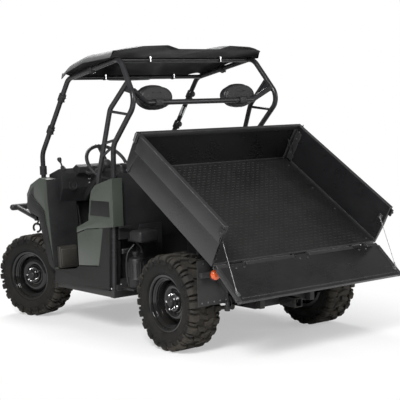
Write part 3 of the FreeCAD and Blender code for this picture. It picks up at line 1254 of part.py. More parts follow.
doc.recompute()
for item in doc.Objects:
    if "Invalid" in item.State or "Error" in item.State:
        raise RuntimeError("%s is not valid" % item.Name)
os.makedirs("parts", exist_ok=True)
for name in sorted(nodes):
    item = nodes[name]
    item.Label = name
    if item.Shape.isNull() or not item.Shape.isValid() or not item.Shape.Solids:
        raise RuntimeError("%s has no valid solid" % name)
for name in sorted(nodes):
    nodes[name].Shape.exportStep("parts/%s.step" % name)
    print(name, len(nodes[name].Shape.Solids), round(nodes[name].Shape.Volume))
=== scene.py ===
import json
import math

import bmesh
import bpy
from mathutils import Matrix, Vector


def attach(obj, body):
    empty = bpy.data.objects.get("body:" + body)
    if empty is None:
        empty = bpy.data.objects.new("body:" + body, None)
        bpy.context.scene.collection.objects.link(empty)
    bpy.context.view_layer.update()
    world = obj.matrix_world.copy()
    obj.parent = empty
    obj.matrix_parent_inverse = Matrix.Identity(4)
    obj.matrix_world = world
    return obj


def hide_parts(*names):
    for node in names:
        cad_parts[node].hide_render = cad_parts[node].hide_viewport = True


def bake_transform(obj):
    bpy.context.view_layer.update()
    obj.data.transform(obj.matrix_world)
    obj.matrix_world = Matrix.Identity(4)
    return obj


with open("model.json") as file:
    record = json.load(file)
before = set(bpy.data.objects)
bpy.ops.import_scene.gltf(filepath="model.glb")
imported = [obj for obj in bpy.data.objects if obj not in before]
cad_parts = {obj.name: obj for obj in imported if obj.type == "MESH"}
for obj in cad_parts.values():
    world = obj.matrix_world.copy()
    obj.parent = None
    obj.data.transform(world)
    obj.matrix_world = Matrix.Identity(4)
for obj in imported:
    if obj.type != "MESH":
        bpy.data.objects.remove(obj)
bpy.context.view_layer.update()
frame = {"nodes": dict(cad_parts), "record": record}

NODES = frame["nodes"]
BODY_OF = {node: body for body, members in frame["record"]["behaviour"]["bodies"].items()
           for node in members}
SLOT_OF = {row["node"]: row["material_slot"] for row in frame["record"]["subparts"]}
MM = 0.001


# Shader building blocks.


class Graph:
    """Adds nodes to a shader tree; an input that is a socket is linked, anything else is its value."""

    def __init__(self, tree):
        self.tree = tree

    def add(self, kind, inputs=None, **settings):
        node = self.tree.nodes.new("ShaderNode" + kind)
        for key, value in settings.items():
            setattr(node, key, value)
        for key, value in (inputs or {}).items():
            if isinstance(value, bpy.types.NodeSocket):
                self.tree.links.new(value, node.inputs[key])
            else:
                node.inputs[key].default_value = value
        return node

    def maths(self, operation, first, second, clamp=False):
        return self.add("Math", {0: first, 1: second}, operation=operation, use_clamp=clamp).outputs[0]

    def ramp(self, value, low, high):
        return self.add("MapRange", {"Value": value, "From Min": low, "From Max": high}).outputs["Result"]

    def mix(self, factor, first, second):
        tones = [tone if isinstance(tone, bpy.types.NodeSocket) else (*tone, 1.0) for tone in (first, second)]
        return self.add("Mix", {0: factor, 6: tones[0], 7: tones[1]}, data_type="RGBA").outputs[2]

    def noise(self, where, scale, detail, roughness=0.5):
        inputs = {"Vector": where, "Scale": scale, "Detail": detail, "Roughness": roughness}
        return self.add("TexNoise", inputs).outputs["Fac"]

    def place(self):
        return self.add("TexCoord").outputs["Object"]

    def normal(self):
        return self.add("NewGeometry").outputs["Normal"]

    def upward(self, vector):
        return self.add("SeparateXYZ", {0: vector}).outputs["Z"]

    def use(self, group_tree, inputs):
        """One of the groups placed here with its own values."""
        return self.add("Group", inputs, node_tree=group_tree).outputs[0]


def fresh_graph(owner):
    """The emptied shader tree of a new material or world."""
    owner.use_nodes = True
    owner.node_tree.nodes.clear()
    return Graph(owner.node_tree)


def group(name, inputs, output, nodes):
    """A node group with float inputs and one float output, its nodes laid by a function."""
    tree = bpy.data.node_groups.new(name, "ShaderNodeTree")
    for label, default in inputs.items():
        socket = tree.interface.new_socket(label, in_out="INPUT", socket_type="NodeSocketFloat")
        socket.default_value = default
    tree.interface.new_socket(output, in_out="OUTPUT", socket_type="NodeSocketFloat")
    given = tree.nodes.new("NodeGroupInput").outputs
    sink = tree.nodes.new("NodeGroupOutput").inputs
    tree.links.new(nodes(Graph(tree), given), sink[output])
    return tree


def trail_dust(graph, given):
    """Trail dust: thicker on faces that look up and near the ground, broken up in patches."""
    where = graph.place()
    up = graph.upward(graph.normal())
    patches = graph.noise(where, given["Scale"], 6.0, 0.65)
    high = graph.maths("DIVIDE", graph.upward(where), given["Height"])
    low = graph.maths("SUBTRACT", 1.0, high, clamp=True)
    lying = graph.maths("ADD", graph.maths("MULTIPLY", graph.ramp(up, 0.2, 1.0), 0.55), low)
    broken = graph.maths("MULTIPLY", lying, graph.ramp(patches, 0.35, 0.72))
    return graph.maths("MULTIPLY", broken, given["Amount"], clamp=True)


def worn_and_highlit_edges(graph, given):
    """Rubbed edges, which a material lightens both as worn paint and as a painted highlight along its edges:
    where the rounded normal departs from the flat one, broken by scratches.
    """
    soft = graph.add("Bevel", {"Radius": given["Width"]}, samples=4).outputs["Normal"]
    along = graph.add("VectorMath", {0: soft, 1: graph.normal()}, operation="DOT_PRODUCT").outputs["Value"]
    edge = graph.ramp(graph.maths("SUBTRACT", 1.0, along), 0.02, 0.25)
    marks = graph.noise(graph.place(), 34.0, 5.0, 0.7)
    mask = graph.maths("MULTIPLY", edge, graph.ramp(marks, 0.36, 0.62))
    return graph.maths("MULTIPLY", mask, given["Amount"], clamp=True)


def moulded_grain(graph, given):
    """Moulded grain: rounded cells with a finer roughness over them."""
    where = graph.place()
    cells = graph.add("TexVoronoi", {"Vector": where, "Scale": given["Scale"]}, feature="SMOOTH_F1")
    fine = graph.noise(where, graph.maths("MULTIPLY", given["Scale"], 2.3), 3.0)
    return graph.maths("ADD", cells.outputs["Distance"], graph.maths("MULTIPLY", fine, given["Fine"]))


def slow_mottle(graph, given):
    """Slow change of tone over a large surface, with faint smears."""
    where = graph.place()
    slow = graph.noise(where, given["Scale"], 4.0)
    smear = graph.add("Mapping", {"Vector": where, "Scale": (1.0, 1.0, 5.0)}).outputs["Vector"]
    streaks = graph.noise(smear, graph.maths("MULTIPLY", given["Scale"], 3.1), 5.0)
    tone = graph.maths("ADD", graph.maths("MULTIPLY", slow, 0.65), graph.maths("MULTIPLY", streaks, 0.35))
    return graph.ramp(tone, 0.33, 0.67)


TRAIL_DUST = group("trail_dust", {"Amount": 0.5, "Scale": 9.0, "Height": 0.6}, "Mask", trail_dust)
WORN_AND_HIGHLIT_EDGES = group("worn_and_highlit_edges", {"Width": 0.004, "Amount": 0.5}, "Mask", worn_and_highlit_edges)
MOULDED_GRAIN = group("moulded_grain", {"Scale": 600.0, "Fine": 0.4}, "Height", moulded_grain)
SLOW_MOTTLE = group("slow_mottle", {"Scale": 5.0}, "Tone", slow_mottle)
DUST_TONE = (0.19, 0.155, 0.115)
DUST_ROUGHNESS = 0.35
MOTTLE_SCALE = 5.0


def finish(name, dark, light, rough, grain=None, dust=0.0, dust_height=0.6, edge_wear_and_highlight=0.0,
           edge_wear_and_highlight_tone=(0.12, 0.12, 0.12), painted_underside_shade=None, specular=0.5, metallic=0.0, shader=None):
    """A material: tone mottled from dark to light, rubbed edges lightened as wear and as a painted edge
    highlight, a painted shade on faces that look down, dust over it, and a normal grained at a scale with a
    strength and a depth."""
    material = bpy.data.materials.new(name)
    graph = fresh_graph(material)
    tone = graph.use(SLOW_MOTTLE, {"Scale": MOTTLE_SCALE})
    colour = graph.mix(tone, dark, light)
    spread = {"Value": tone, "To Min": rough[0], "To Max": rough[1]}
    roughness = graph.add("MapRange", spread).outputs["Result"]
    # Edges lightened towards the edge tone: partly worn paint, partly a painted highlight along the edges.
    if edge_wear_and_highlight:
        colour = graph.mix(graph.use(WORN_AND_HIGHLIT_EDGES, {"Amount": edge_wear_and_highlight}), colour, edge_wear_and_highlight_tone)
    # Faces that look down are darkened towards this tone: a painted shade on undersides.
    if painted_underside_shade:
        colour = graph.mix(graph.ramp(graph.upward(graph.normal()), 0.1, -0.3), colour, painted_underside_shade)
    if dust:
        dusty = graph.use(TRAIL_DUST, {"Amount": dust, "Height": dust_height})
        colour = graph.mix(dusty, colour, DUST_TONE)
        roughness = graph.maths("ADD", roughness, graph.maths("MULTIPLY", dusty, DUST_ROUGHNESS), clamp=True)
    inputs = {"Base Color": colour, "Roughness": roughness, "Specular IOR Level": specular,
              "Metallic": metallic, **(shader or {})}
    if grain:
        scale, strength, depth = grain
        height = graph.use(MOULDED_GRAIN, {"Scale": scale})
        bump = graph.add("Bump", {"Height": height, "Strength": strength, "Distance": depth})
        inputs["Normal"] = bump.outputs["Normal"]
    surface = graph.add("BsdfPrincipled", inputs)
    graph.add("OutputMaterial", {"Surface": surface.outputs["BSDF"]})
    return material


CAGE_PAINT = finish("cage_paint", (0.012, 0.012, 0.013), (0.022, 0.022, 0.024), (0.2, 0.34),
                    (900, 0.12, 0.0005), dust=0.02, edge_wear_and_highlight=0.5, edge_wear_and_highlight_tone=(0.14, 0.14, 0.15), specular=0.28)
FRAME_PAINT = finish("frame_paint", (0.012, 0.012, 0.012), (0.024, 0.024, 0.024), (0.4, 0.6),
                     (500, 0.2, 0.0008), dust=0.08, edge_wear_and_highlight=0.4, specular=0.35)
BED_PAINT = finish("bed_powder_coat", (0.007, 0.007, 0.0078), (0.012, 0.012, 0.013), (0.24, 0.36),
                   (1100, 0.3, 0.00012), dust=0.02, edge_wear_and_highlight=0.7, edge_wear_and_highlight_tone=(0.16, 0.16, 0.16), specular=0.42)
BED_MAT = finish("bed_mat", (0.008, 0.008, 0.008), (0.014, 0.014, 0.014), (0.34, 0.46), (700, 0.3, 0.0006),
                 dust=0.02, dust_height=0.2, specular=0.3)
OLIVE = finish("olive_panel", (0.037, 0.045, 0.036), (0.049, 0.058, 0.047), (0.3, 0.42), (1300, 0.12, 0.0004),
               dust=0.06, dust_height=0.5, edge_wear_and_highlight=0.35, edge_wear_and_highlight_tone=(0.2, 0.21, 0.19))
CLADDING = finish("grey_cladding", (0.008, 0.0083, 0.008), (0.013, 0.0133, 0.013), (0.46, 0.6),
                  (700, 0.45, 0.0008), dust=0.05, dust_height=0.5, edge_wear_and_highlight=0.3, specular=0.22)
BLACK_PLASTIC = finish("black_plastic", (0.008, 0.008, 0.009), (0.014, 0.014, 0.015), (0.42, 0.58),
                       (700, 0.5, 0.0008), dust=0.1, edge_wear_and_highlight=0.3, specular=0.35)
# The roof's underside is darkened by a painted shade.
ROOF_PLASTIC = finish("roof_plastic", (0.062, 0.063, 0.064), (0.082, 0.083, 0.084), (0.48, 0.62),
                      (600, 0.35, 0.0005), dust=0.06, edge_wear_and_highlight=0.3, painted_underside_shade=(0.003, 0.003, 0.003), specular=0.2)
VINYL = finish("black_vinyl", (0.008, 0.008, 0.009), (0.015, 0.015, 0.017), (0.3, 0.44), (420, 0.55, 0.001),
               dust=0.02)
RIM_PAINT = finish("rim_paint", (0.005, 0.005, 0.005), (0.009, 0.009, 0.009), (0.08, 0.16), dust=0.03,
                   specular=0.28, shader={"Coat Weight": 0.22, "Coat Roughness": 0.05})
RUBBER = finish("tyre_rubber", (0.004, 0.004, 0.004), (0.008, 0.008, 0.0078), (0.6, 0.78), (300, 0.4, 0.001),
                dust=0.07, dust_height=0.8, specular=0.2)
TREAD = finish("dusty_tread", (0.014, 0.0135, 0.0125), (0.026, 0.0245, 0.022), (0.66, 0.84),
               (300, 0.4, 0.001), dust=0.22, dust_height=0.8, specular=0.2)
CAST = finish("cast_metal", (0.03, 0.03, 0.03), (0.06, 0.058, 0.056), (0.5, 0.68), (450, 0.6, 0.001),
              dust=0.25, metallic=0.6)
DULL_STEEL = finish("dull_steel", (0.02, 0.019, 0.018), (0.045, 0.043, 0.04), (0.42, 0.6), (500, 0.3, 0.0008),
                    dust=0.2, metallic=0.4)
BRIGHT_STEEL = finish("bright_steel", (0.42, 0.42, 0.43), (0.6, 0.6, 0.6), (0.16, 0.3), (900, 0.1, 0.0003),
                      metallic=1.0)
SPRING_PAINT = finish("spring_paint", (0.02, 0.02, 0.02), (0.035, 0.035, 0.035), (0.25, 0.4),
                      (700, 0.15, 0.0006), dust=0.3)
LENS = finish("clear_lens", (0.8, 0.82, 0.84), (0.86, 0.88, 0.9), (0.03, 0.06),
              shader={"Transmission Weight": 0.9, "IOR": 1.45})
PALE_MARK = finish("pale_mark", (0.5, 0.5, 0.48), (0.62, 0.62, 0.6), (0.5, 0.6))
DIAL = finish("dial_glass", (0.01, 0.011, 0.012), (0.02, 0.022, 0.024), (0.05, 0.1),
              shader={"Coat Weight": 0.8})
DULL_BRIGHT = finish("zinc_steel", (0.16, 0.16, 0.165), (0.26, 0.26, 0.265), (0.34, 0.46), (900, 0.2, 0.0003),
                     metallic=0.9)
# A lighter copy of the bed paint: a painted highlight on the boards' top caps, the outsides' upper bands and
# the gate's beads; its edges are lightened strongly, as wear and as a painted highlight.
LIT_BED_PAINT = finish("bed_paint_painted_highlight", (0.015, 0.015, 0.016), (0.024, 0.024, 0.025), (0.34, 0.46),
                  (1100, 0.25, 0.0004), dust=0.05, edge_wear_and_highlight=0.9, edge_wear_and_highlight_tone=(0.2, 0.2, 0.2), specular=0.4)
# Its edges are lightened strongly, partly as wear and partly as a painted highlight round the box's face.
TOE_PLASTIC = finish("toe_box_plastic", (0.02, 0.018, 0.015), (0.03, 0.028, 0.024), (0.5, 0.64),
                     (700, 0.45, 0.0008), dust=0.08, dust_height=0.8, edge_wear_and_highlight=0.9, edge_wear_and_highlight_tone=(0.24, 0.23, 0.21))
LAMP_GLASS = finish("lamp_glass", (0.3, 0.31, 0.32), (0.62, 0.63, 0.64), (0.04, 0.1), metallic=0.7,
                    shader={"Coat Weight": 1.0, "Coat Roughness": 0.02})
CABLE_STEEL = finish("cable_steel", (0.16, 0.16, 0.165), (0.3, 0.3, 0.3), (0.3, 0.45), (2600, 0.5, 0.0004),
                     metallic=0.8)
RED_LENS = finish("signal_lens", (0.55, 0.07, 0.012), (0.7, 0.11, 0.02), (0.1, 0.2),
                  shader={"Coat Weight": 0.6, "Subsurface Weight": 0.1})

FINISH_OF_SLOT = {
    "frame_steel": FRAME_PAINT, "cage_steel": CAGE_PAINT, "roof_plastic": ROOF_PLASTIC, "vinyl": VINYL,
    "black_plastic": BLACK_PLASTIC, "olive_plastic": OLIVE, "grey_plastic": CLADDING, "lamp_lens": LENS,
    "tail_lens": RED_LENS, "shock_steel": FRAME_PAINT, "cast_metal": CAST, "dull_steel": DULL_STEEL,
    "bright_steel": BRIGHT_STEEL, "rim_paint": RIM_PAINT, "tyre": RUBBER, "bed_paint": BED_PAINT,
}
for node, cad in NODES.items():
    for material_slot in cad.material_slots:
        material_slot.material = FINISH_OF_SLOT[SLOT_OF[node]]


# Pieces: helpers. Places and sizes are in millimetres unless a name says otherwise.

SLOT_OF_FINISH = {BLACK_PLASTIC: "black_plastic", FRAME_PAINT: "frame_steel", BED_MAT: "bed_paint",
                  LIT_BED_PAINT: "bed_paint", CLADDING: "grey_plastic", TOE_PLASTIC: "grey_plastic",
                  BRIGHT_STEEL: "bright_steel", DULL_BRIGHT: "bright_steel", CABLE_STEEL: "bright_steel",
                  PALE_MARK: "bright_steel", DIAL: "black_plastic", VINYL: "vinyl", RED_LENS: "tail_lens",
                  ROOF_PLASTIC: "roof_plastic", SPRING_PAINT: "shock_steel"}


def linked(name, data):
    """An object of the scene that shows a mesh, a lamp or a camera."""
    item = bpy.data.objects.new(name, data)
    bpy.context.scene.collection.objects.link(item)
    return item


def mesh_of(name, bm):
    """A mesh with a form's shape; the form is used up."""
    mesh = bpy.data.meshes.new(name)
    bm.to_mesh(mesh)
    bm.free()
    return mesh


def piece(name, bm, material, slot=None, body="chassis", hides=(), smooth_angle=32, matrix=Matrix()):
    """A finished mesh as an object at the origin that rides on its body; sharp edges stay sharp."""
    moved(bm, bm.verts, matrix)
    limit = math.radians(smooth_angle)
    for edge in bm.edges:
        edge.smooth = not edge.is_manifold or edge.calc_face_angle(0.0) < limit
    for face in bm.faces:
        face.smooth = True
    item = linked(name, mesh_of(name, bm))
    item.data.materials.append(material)
    slot = slot or SLOT_OF_FINISH[material]
    if body:
        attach(item, body)
    if hides:
        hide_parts(*hides)
    return item


def verts_in(geometry):
    """The vertices among mixed mesh elements."""
    return [item for item in geometry if isinstance(item, bmesh.types.BMVert)]


def edges_of(verts):
    return list({edge for vert in verts for edge in vert.link_edges})


def faces_of(verts):
    return list({face for vert in verts for face in vert.link_faces})


def moved(bm, verts, matrix):
    bmesh.ops.transform(bm, matrix=matrix, verts=verts)


def turned_out(bm, verts):
    """Point the normals of the faces at some vertices outwards."""
    bmesh.ops.recalc_face_normals(bm, faces=faces_of(verts))


def sharp_edges(edges, angle):
    """The edges whose faces meet at more than an angle in degrees."""
    return [edge for edge in edges if edge.is_manifold and edge.calc_face_angle(0.0) > math.radians(angle)]


def rounded(bm, verts, edges, width, segments):
    """Round some edges of a form and give the form's vertices."""
    faces = bmesh.ops.bevel(bm, geom=edges, offset=width * MM, offset_type="OFFSET", affect="EDGES",
                            segments=segments, profile=0.5, material=-1, clamp_overlap=True)["faces"]
    return list({vert for vert in verts if vert.is_valid} | {vert for face in faces for vert in face.verts})


def prism(bm, outline, move):
    """A closed form: a face on points in metres, drawn out along a move; gives its two rings."""
    near = [bm.verts.new(spot) for spot in outline]
    far = verts_in(bmesh.ops.extrude_face_region(bm, geom=[bm.faces.new(near)])["geom"])
    bmesh.ops.translate(bm, vec=move, verts=far)
    return near, far


def at(place, turn=None):
    """A matrix that stands at a place, turned by a quaternion if given."""
    spot = Matrix.Translation(Vector(place) * MM)
    return spot @ turn.to_matrix().to_4x4() if turn else spot


def facing(place, way):
    """A matrix at a place with its upright axis along a direction."""
    return at(place, Vector(way).to_track_quat("Z", "Y"))


def block(bm, low, high, soft=1.5, segments=2, side=1, matrix=Matrix()):
    """A box between two corners with rounded edges, set in a frame; on side -1 it is mirrored across."""
    near, far = sorted((side * low[1], side * high[1]))
    low, high = Vector((low[0], near, low[2])), Vector((high[0], far, high[2]))
    made = bmesh.ops.create_cube(bm, size=1.0)["verts"]
    bmesh.ops.scale(bm, vec=(high - low) * MM, verts=made)
    bmesh.ops.translate(bm, vec=(high + low) / 2 * MM, verts=made)
    made = rounded(bm, made, edges_of(made), soft, segments)
    moved(bm, made, matrix)
    return made


def lathe(bm, profile, matrix=Matrix(), steps=48):
    """A closed turned form: profile rows are radius and height about the matrix's own axis."""
    verts = [bm.verts.new((radius * MM, 0.0, high * MM)) for radius, high in profile]
    edges = [bm.edges.new(pair) for pair in zip(verts, verts[1:])]
    if profile[0][0] or profile[-1][0]:
        edges.append(bm.edges.new((verts[-1], verts[0])))
    before = set(bm.verts) - set(verts)
    bmesh.ops.spin(bm, geom=verts + edges, cent=(0, 0, 0), axis=(0, 0, 1), angle=math.tau, steps=steps,
                   use_merge=True)
    bmesh.ops.remove_doubles(bm, verts=[vert for vert in bm.verts if vert not in before], dist=1e-6)
    made = [vert for vert in bm.verts if vert not in before]
    turned_out(bm, made)
    moved(bm, made, matrix)
    return made


def bar(bm, start, end, radius, steps, soft=0.0):
    """A round bar between two points."""
    way = Vector(end) - Vector(start)
    high = way.length
    profile = [(0, 0), (radius, 0), (radius, high), (0, high)]
    if soft:
        profile = [(0, 0), (radius - soft, 0), (radius, soft), (radius, high - soft), (radius - soft, high),
                   (0, high)]
    return lathe(bm, profile, facing(start, way), steps)


def bolt(bm, place, way, radius, high):
    """A hexagon head on its washer, pointing outwards."""
    stand = facing(place, way)
    lathe(bm, [(0, 0), (radius * 1.5, 0), (radius * 1.5, high * 0.25), (radius, high * 0.3), (0, high * 0.3)],
          stand, 16)
    made = bmesh.ops.create_cone(bm, segments=6, radius1=radius * MM, radius2=radius * MM, depth=high * MM,
                                 cap_ends=True)["verts"]
    bmesh.ops.translate(bm, vec=(0, 0, high * MM / 2), verts=made)
    moved(bm, made, stand)


WELD, FLAT_ANGLE, MOULD_ANGLE, SHORTEST_SHARE = 0.02, 1.2, 25, 2.2


def merged(node):
    """The shells of a CAD node welded together and cleared of the edges inside their flat faces."""
    bm = bmesh.new()
    bm.from_mesh(NODES[node].data)
    bmesh.ops.remove_doubles(bm, verts=bm.verts, dist=WELD * MM)
    bmesh.ops.dissolve_limit(bm, angle_limit=math.radians(FLAT_ANGLE), verts=bm.verts, edges=bm.edges)
    return bm


def moulded(name, material, node, width, segments):
    """A CAD form with its outer edges rounded as a moulding or pressing has them."""
    bm = merged(node)
    shortest = SHORTEST_SHARE * width * MM
    edges = [edge for edge in sharp_edges(bm.edges, MOULD_ANGLE) if edge.calc_length() > shortest]
    rounded(bm, (), edges, width, segments)
    return piece(name, bm, material, SLOT_OF[node], BODY_OF[node], [node])


def repeated(bm, verts, count, move=None):
    """Copies of a form set evenly round the upright axis, or each a move from the last; gives them all."""
    others = set(bm.verts) - set(verts)
    faces = faces_of(verts)
    edges = list({edge for face in faces for edge in face.edges})
    way = {"angle": 0.0, "dvec": Vector(move) * MM} if move else {"angle": math.tau * (count - 1) / count}
    bmesh.ops.spin(bm, geom=verts + edges + faces, cent=(0, 0, 0), axis=(0, 0, 1), steps=count - 1,
                   use_duplicate=True, use_merge=False, **way)
    return [vert for vert in bm.verts if vert not in others]


def smooth_path(points, per=8):
    """Points along a smooth curve through the given ones."""
    spots = [Vector(point) for point in points]
    spots = [2 * spots[0] - spots[1]] + spots + [2 * spots[-1] - spots[-2]]
    made = []
    for a, b, c, d in zip(spots, spots[1:], spots[2:], spots[3:]):
        for t in (step / per for step in range(per)):
            made.append(0.5 * (2 * b + (c - a) * t + (2 * a - 5 * b + 4 * c - d) * t * t
                               + (3 * b - a - 3 * c + d) * t * t * t))
    return made + [spots[-2]]


def wire(bm, points, radius, steps):
    """A round bar along points, its ends closed."""
    spots = [Vector(point) * MM for point in points]
    ways = [(after - before).normalized() for before, after in zip(spots, spots[1:])]
    tangents = [ways[0]] + [(a + b).normalized() for a, b in zip(ways, ways[1:])] + [ways[-1]]
    across = tangents[0].orthogonal().normalized()
    angles = [math.tau * index / steps for index in range(steps)]
    rings = []
    for spot, tangent in zip(spots, tangents):
        across = (across - tangent * across.dot(tangent)).normalized()
        other = tangent.cross(across)
        rings.append([bm.verts.new(spot + (across * math.cos(angle) + other * math.sin(angle)) * radius * MM)
                      for angle in angles])
    for near, far in zip(rings, rings[1:]):
        for index in range(steps):
            after = (index + 1) % steps
            bm.faces.new((near[index], near[after], far[after], far[index]))
    bm.faces.new(rings[0][::-1])
    bm.faces.new(rings[-1])
    return [vert for ring in rings for vert in ring]


# Frames of the moving pieces.

REAR_AXLE_X, FRONT_AXLE_X, AXLE_Z = -877.5, 1067.5, 330.0
TRACK_HALF, KINGPIN_HALF, KINGPIN_OFFSET, STEER_REST = 635.0, 555.0, 90.0, 17.9
HINGE, BED_TILT = (-1083.0, 0.0, 779.0), 32.5
BED_BACK, BED_FRONT, BED_LOW, BED_HIGH = -350.0, 755.0, 50.0, 361.0
GATE_PIN_X, GATE_OPEN, GATE_HALF, GATE_TOP = -372.0, 99.0, 744.0, 305.0
BED = at(HINGE) @ Matrix.Rotation(math.radians(-BED_TILT), 4, "Y")
GATE = BED @ at((GATE_PIN_X, 0, BED_LOW)) @ Matrix.Rotation(math.radians(-GATE_OPEN), 4, "Y")
SIDES = (1, -1)
SIDE_NAMES = {1: "left", -1: "right"}


def wheel_frame(end, side):
    """A wheel's own frame: its axis is upright and points outboard."""
    lay_down = Matrix.Rotation(math.radians(-90 * side), 4, "X")
    if end == "front":
        turn = Matrix.Rotation(math.radians(STEER_REST), 4, "Z")
        offset = at((0, side * KINGPIN_OFFSET, 0))
        return at((FRONT_AXLE_X, side * KINGPIN_HALF, AXLE_Z)) @ turn @ offset @ lay_down
    return at((REAR_AXLE_X, side * TRACK_HALF, AXLE_Z)) @ lay_down


# Wheels.

LUG_COUNT = 22
TYRE_RADIUS, TREAD_RADIUS = 330.0, 311.0
LUG_SOFT, LUG_SHARP_ANGLE = 2.4, 28
TYRE_STEPS, RIM_STEPS, DISC_STEPS = 88, 96, 72
WIDTHS = (("front", 214.0), ("rear", 254.0))
RIM_INSET, NUT_CIRCLE, NUT_COUNT = 26, 50, 5


def lug(bm, outline, low, high, taper, skew):
    """One tread lug: an outline in the wheel's section, drawn out along the tread, narrowed at its top
    and rounded."""
    near, far = prism(bm, [(radius * MM, low * MM, across * MM) for radius, across in outline],
                      (0, (high - low) * MM, 0))
    made = near + far
    middle = (low + high) / 2 * MM
    crown = max(radius for radius, across in outline) * MM
    base = min(radius for radius, across in outline) * MM
    for vert in made:
        share = (vert.co.x - base) / (crown - base)
        vert.co.y = middle + (vert.co.y - middle) * (1 - (1 - taper) * share) + skew * vert.co.z
    return rounded(bm, made, sharp_edges(edges_of(made), LUG_SHARP_ANGLE), LUG_SOFT, 1)


def tyre(end, side, width):
    """A tyre with a smooth sidewall and two staggered rows of deep lugs that reach over its shoulders."""
    half = width / 2
    bm = bmesh.new()
    outer = [(178.3, half - 26.3), (197.3, half - 26.3), (200, half - 19), (204, half - 10), (212, half - 5),
             (216, half - 5.5), (219, half - 3), (240, half), (260, half - 1.5), (280, half - 8),
             (297, half - 22), (TREAD_RADIUS - 3, half - 38), (TREAD_RADIUS, half - 52),
             (TREAD_RADIUS + 1.5, 0)]
    inner = [(TREAD_RADIUS - 20, 0), (286, half - 42), (250, half - 14), (205, half - 26), (178.3, half - 42)]
    profile = outer + [(radius, -high) for radius, high in reversed(outer[:-1])]
    profile += [(radius, -high) for radius, high in reversed(inner)] + inner[1:]
    lathe(bm, profile, steps=TYRE_STEPS)
    shoulder = [(296, half - 62), (TYRE_RADIUS, half - 62), (TYRE_RADIUS - 1, half - 24), (320, half - 9),
                (300, half + 2.5), (276, half + 5), (262, half - 2), (284, half - 18)]
    crown = [(299, -12), (TYRE_RADIUS - 0.5, -9), (TYRE_RADIUS - 0.5, half - 70), (299, half - 66)]
    gap_bar = [(296, half - 48), (320, half - 48), (318, half - 26), (306, half - 10), (290, half - 4),
               (280, half - 9), (288, half - 20)]
    wall_rib = [(247, half - 2), (250, half + 1.4), (257, half + 1.2), (260, half - 3)]
    made = (lug(bm, shoulder, -23, 23, 0.8, 0.0) + lug(bm, crown, -20, 16, 0.84, 0.3)
            + lug(bm, gap_bar, 36, 57, 0.8, 0.0) + lug(bm, wall_rib, 2, 38, 0.94, 0.0))
    other = verts_in(bmesh.ops.duplicate(bm, geom=faces_of(made))["geom"])
    bmesh.ops.scale(bm, vec=(1, 1, -1), verts=other)
    pitch = math.tau / LUG_COUNT
    bmesh.ops.rotate(bm, cent=(0, 0, 0), matrix=Matrix.Rotation(pitch / 2, 3, "Z"), verts=other)
    every = list({vert for vert in made + other if vert.is_valid})
    bmesh.ops.rotate(bm, cent=(0, 0, 0), matrix=Matrix.Rotation(pitch / 4, 3, "Z"), verts=every)
    turned_out(bm, every)
    repeated(bm, every, LUG_COUNT)
    for face in bm.faces:
        face.material_index = int(face.calc_center_median().xy.length > (TREAD_RADIUS - 12) * MM)
    node = "tyre_%s_%s" % (end, SIDE_NAMES[side])
    item = piece(node + "_lugged", bm, RUBBER, SLOT_OF[node], BODY_OF[node], [node],
                 matrix=wheel_frame(end, side))
    item.data.materials.append(TREAD)


def rim(end, side, width):
    """A deep pressed wheel with stepped ridges, its dished disc, brake disc, hub and nuts."""
    half = width / 2 - RIM_INSET
    node = "rim_%s_%s" % (end, SIDE_NAMES[side])
    body, stand = BODY_OF[node], wheel_frame(end, side)
    bm = bmesh.new()
    skin = [(178, half - 1), (194, half), (196.6, half + 2), (195.5, half + 4.2), (190, half + 4.4),
            (181, half + 1), (177, half - 3), (175.4, half - 9), (175.4, half - 17), (171, half - 21),
            (166, half - 22.5), (164, half - 25), (163, half - 38), (158, half - 42.5), (153, half - 44),
            (151, half - 48), (151, -half + 34), (173, -half + 22), (173, -half - 5), (197, -half - 5),
            (197, -half), (178, -half), (178, -half + 20), (156, -half + 32), (156, half - 32),
            (178, half - 20)]
    lathe(bm, skin, steps=RIM_STEPS)
    disc = [(0, 40), (62, 40), (66, 36), (70, 24), (78, 22), (88, 30), (96, 36), (112, 36), (126, 31),
            (140, 18), (151.6, 6), (151.6, -2), (126, 22), (98, 28), (82, 14), (62, 14), (62, 2), (42, 2),
            (42, -12), (96, -12), (96, -17), (26, -17), (26, -60), (16, -60), (16, -96), (0, -96)]
    lathe(bm, disc, steps=DISC_STEPS)
    piece(node + "_pressed", bm, RIM_PAINT, SLOT_OF[node], body, [node], 40, stand)
    bm = bmesh.new()
    lathe(bm, [(0, 78), (22, 76), (29, 70), (32, 60), (32, 50), (37, 48), (37, 40), (0, 40)], steps=40)
    piece(node + "_hub_cap", bm, BLACK_PLASTIC, body=body, matrix=stand)
    bm = bmesh.new()
    nut = [(0, 66), (5, 65.5), (8.5, 62), (9.5, 56), (10, 48), (12.5, 45), (13, 40), (0, 40)]
    repeated(bm, lathe(bm, nut, at((NUT_CIRCLE, 0, 0)), 12), NUT_COUNT)
    piece(node + "_nuts", bm, BRIGHT_STEEL, body=body, smooth_angle=20, matrix=stand)


for end, width in WIDTHS:
    for side in SIDES:
        tyre(end, side, width)
        rim(end, side, width)


# Suspension: shocks with coil springs.

SHOCK_LOW_Z, SHOCK_Y, SHOCK_TOP_Y, SHOCK_SHIFT = 284.3, 400.0, 300.0, 34.0
SHOCKS = ((FRONT_AXLE_X, 690.0), (REAR_AXLE_X, 640.0))
COIL_RADIUS, COIL_WIRE, COIL_TURNS, COIL_STEPS = 31.5, 5.5, 8, 22


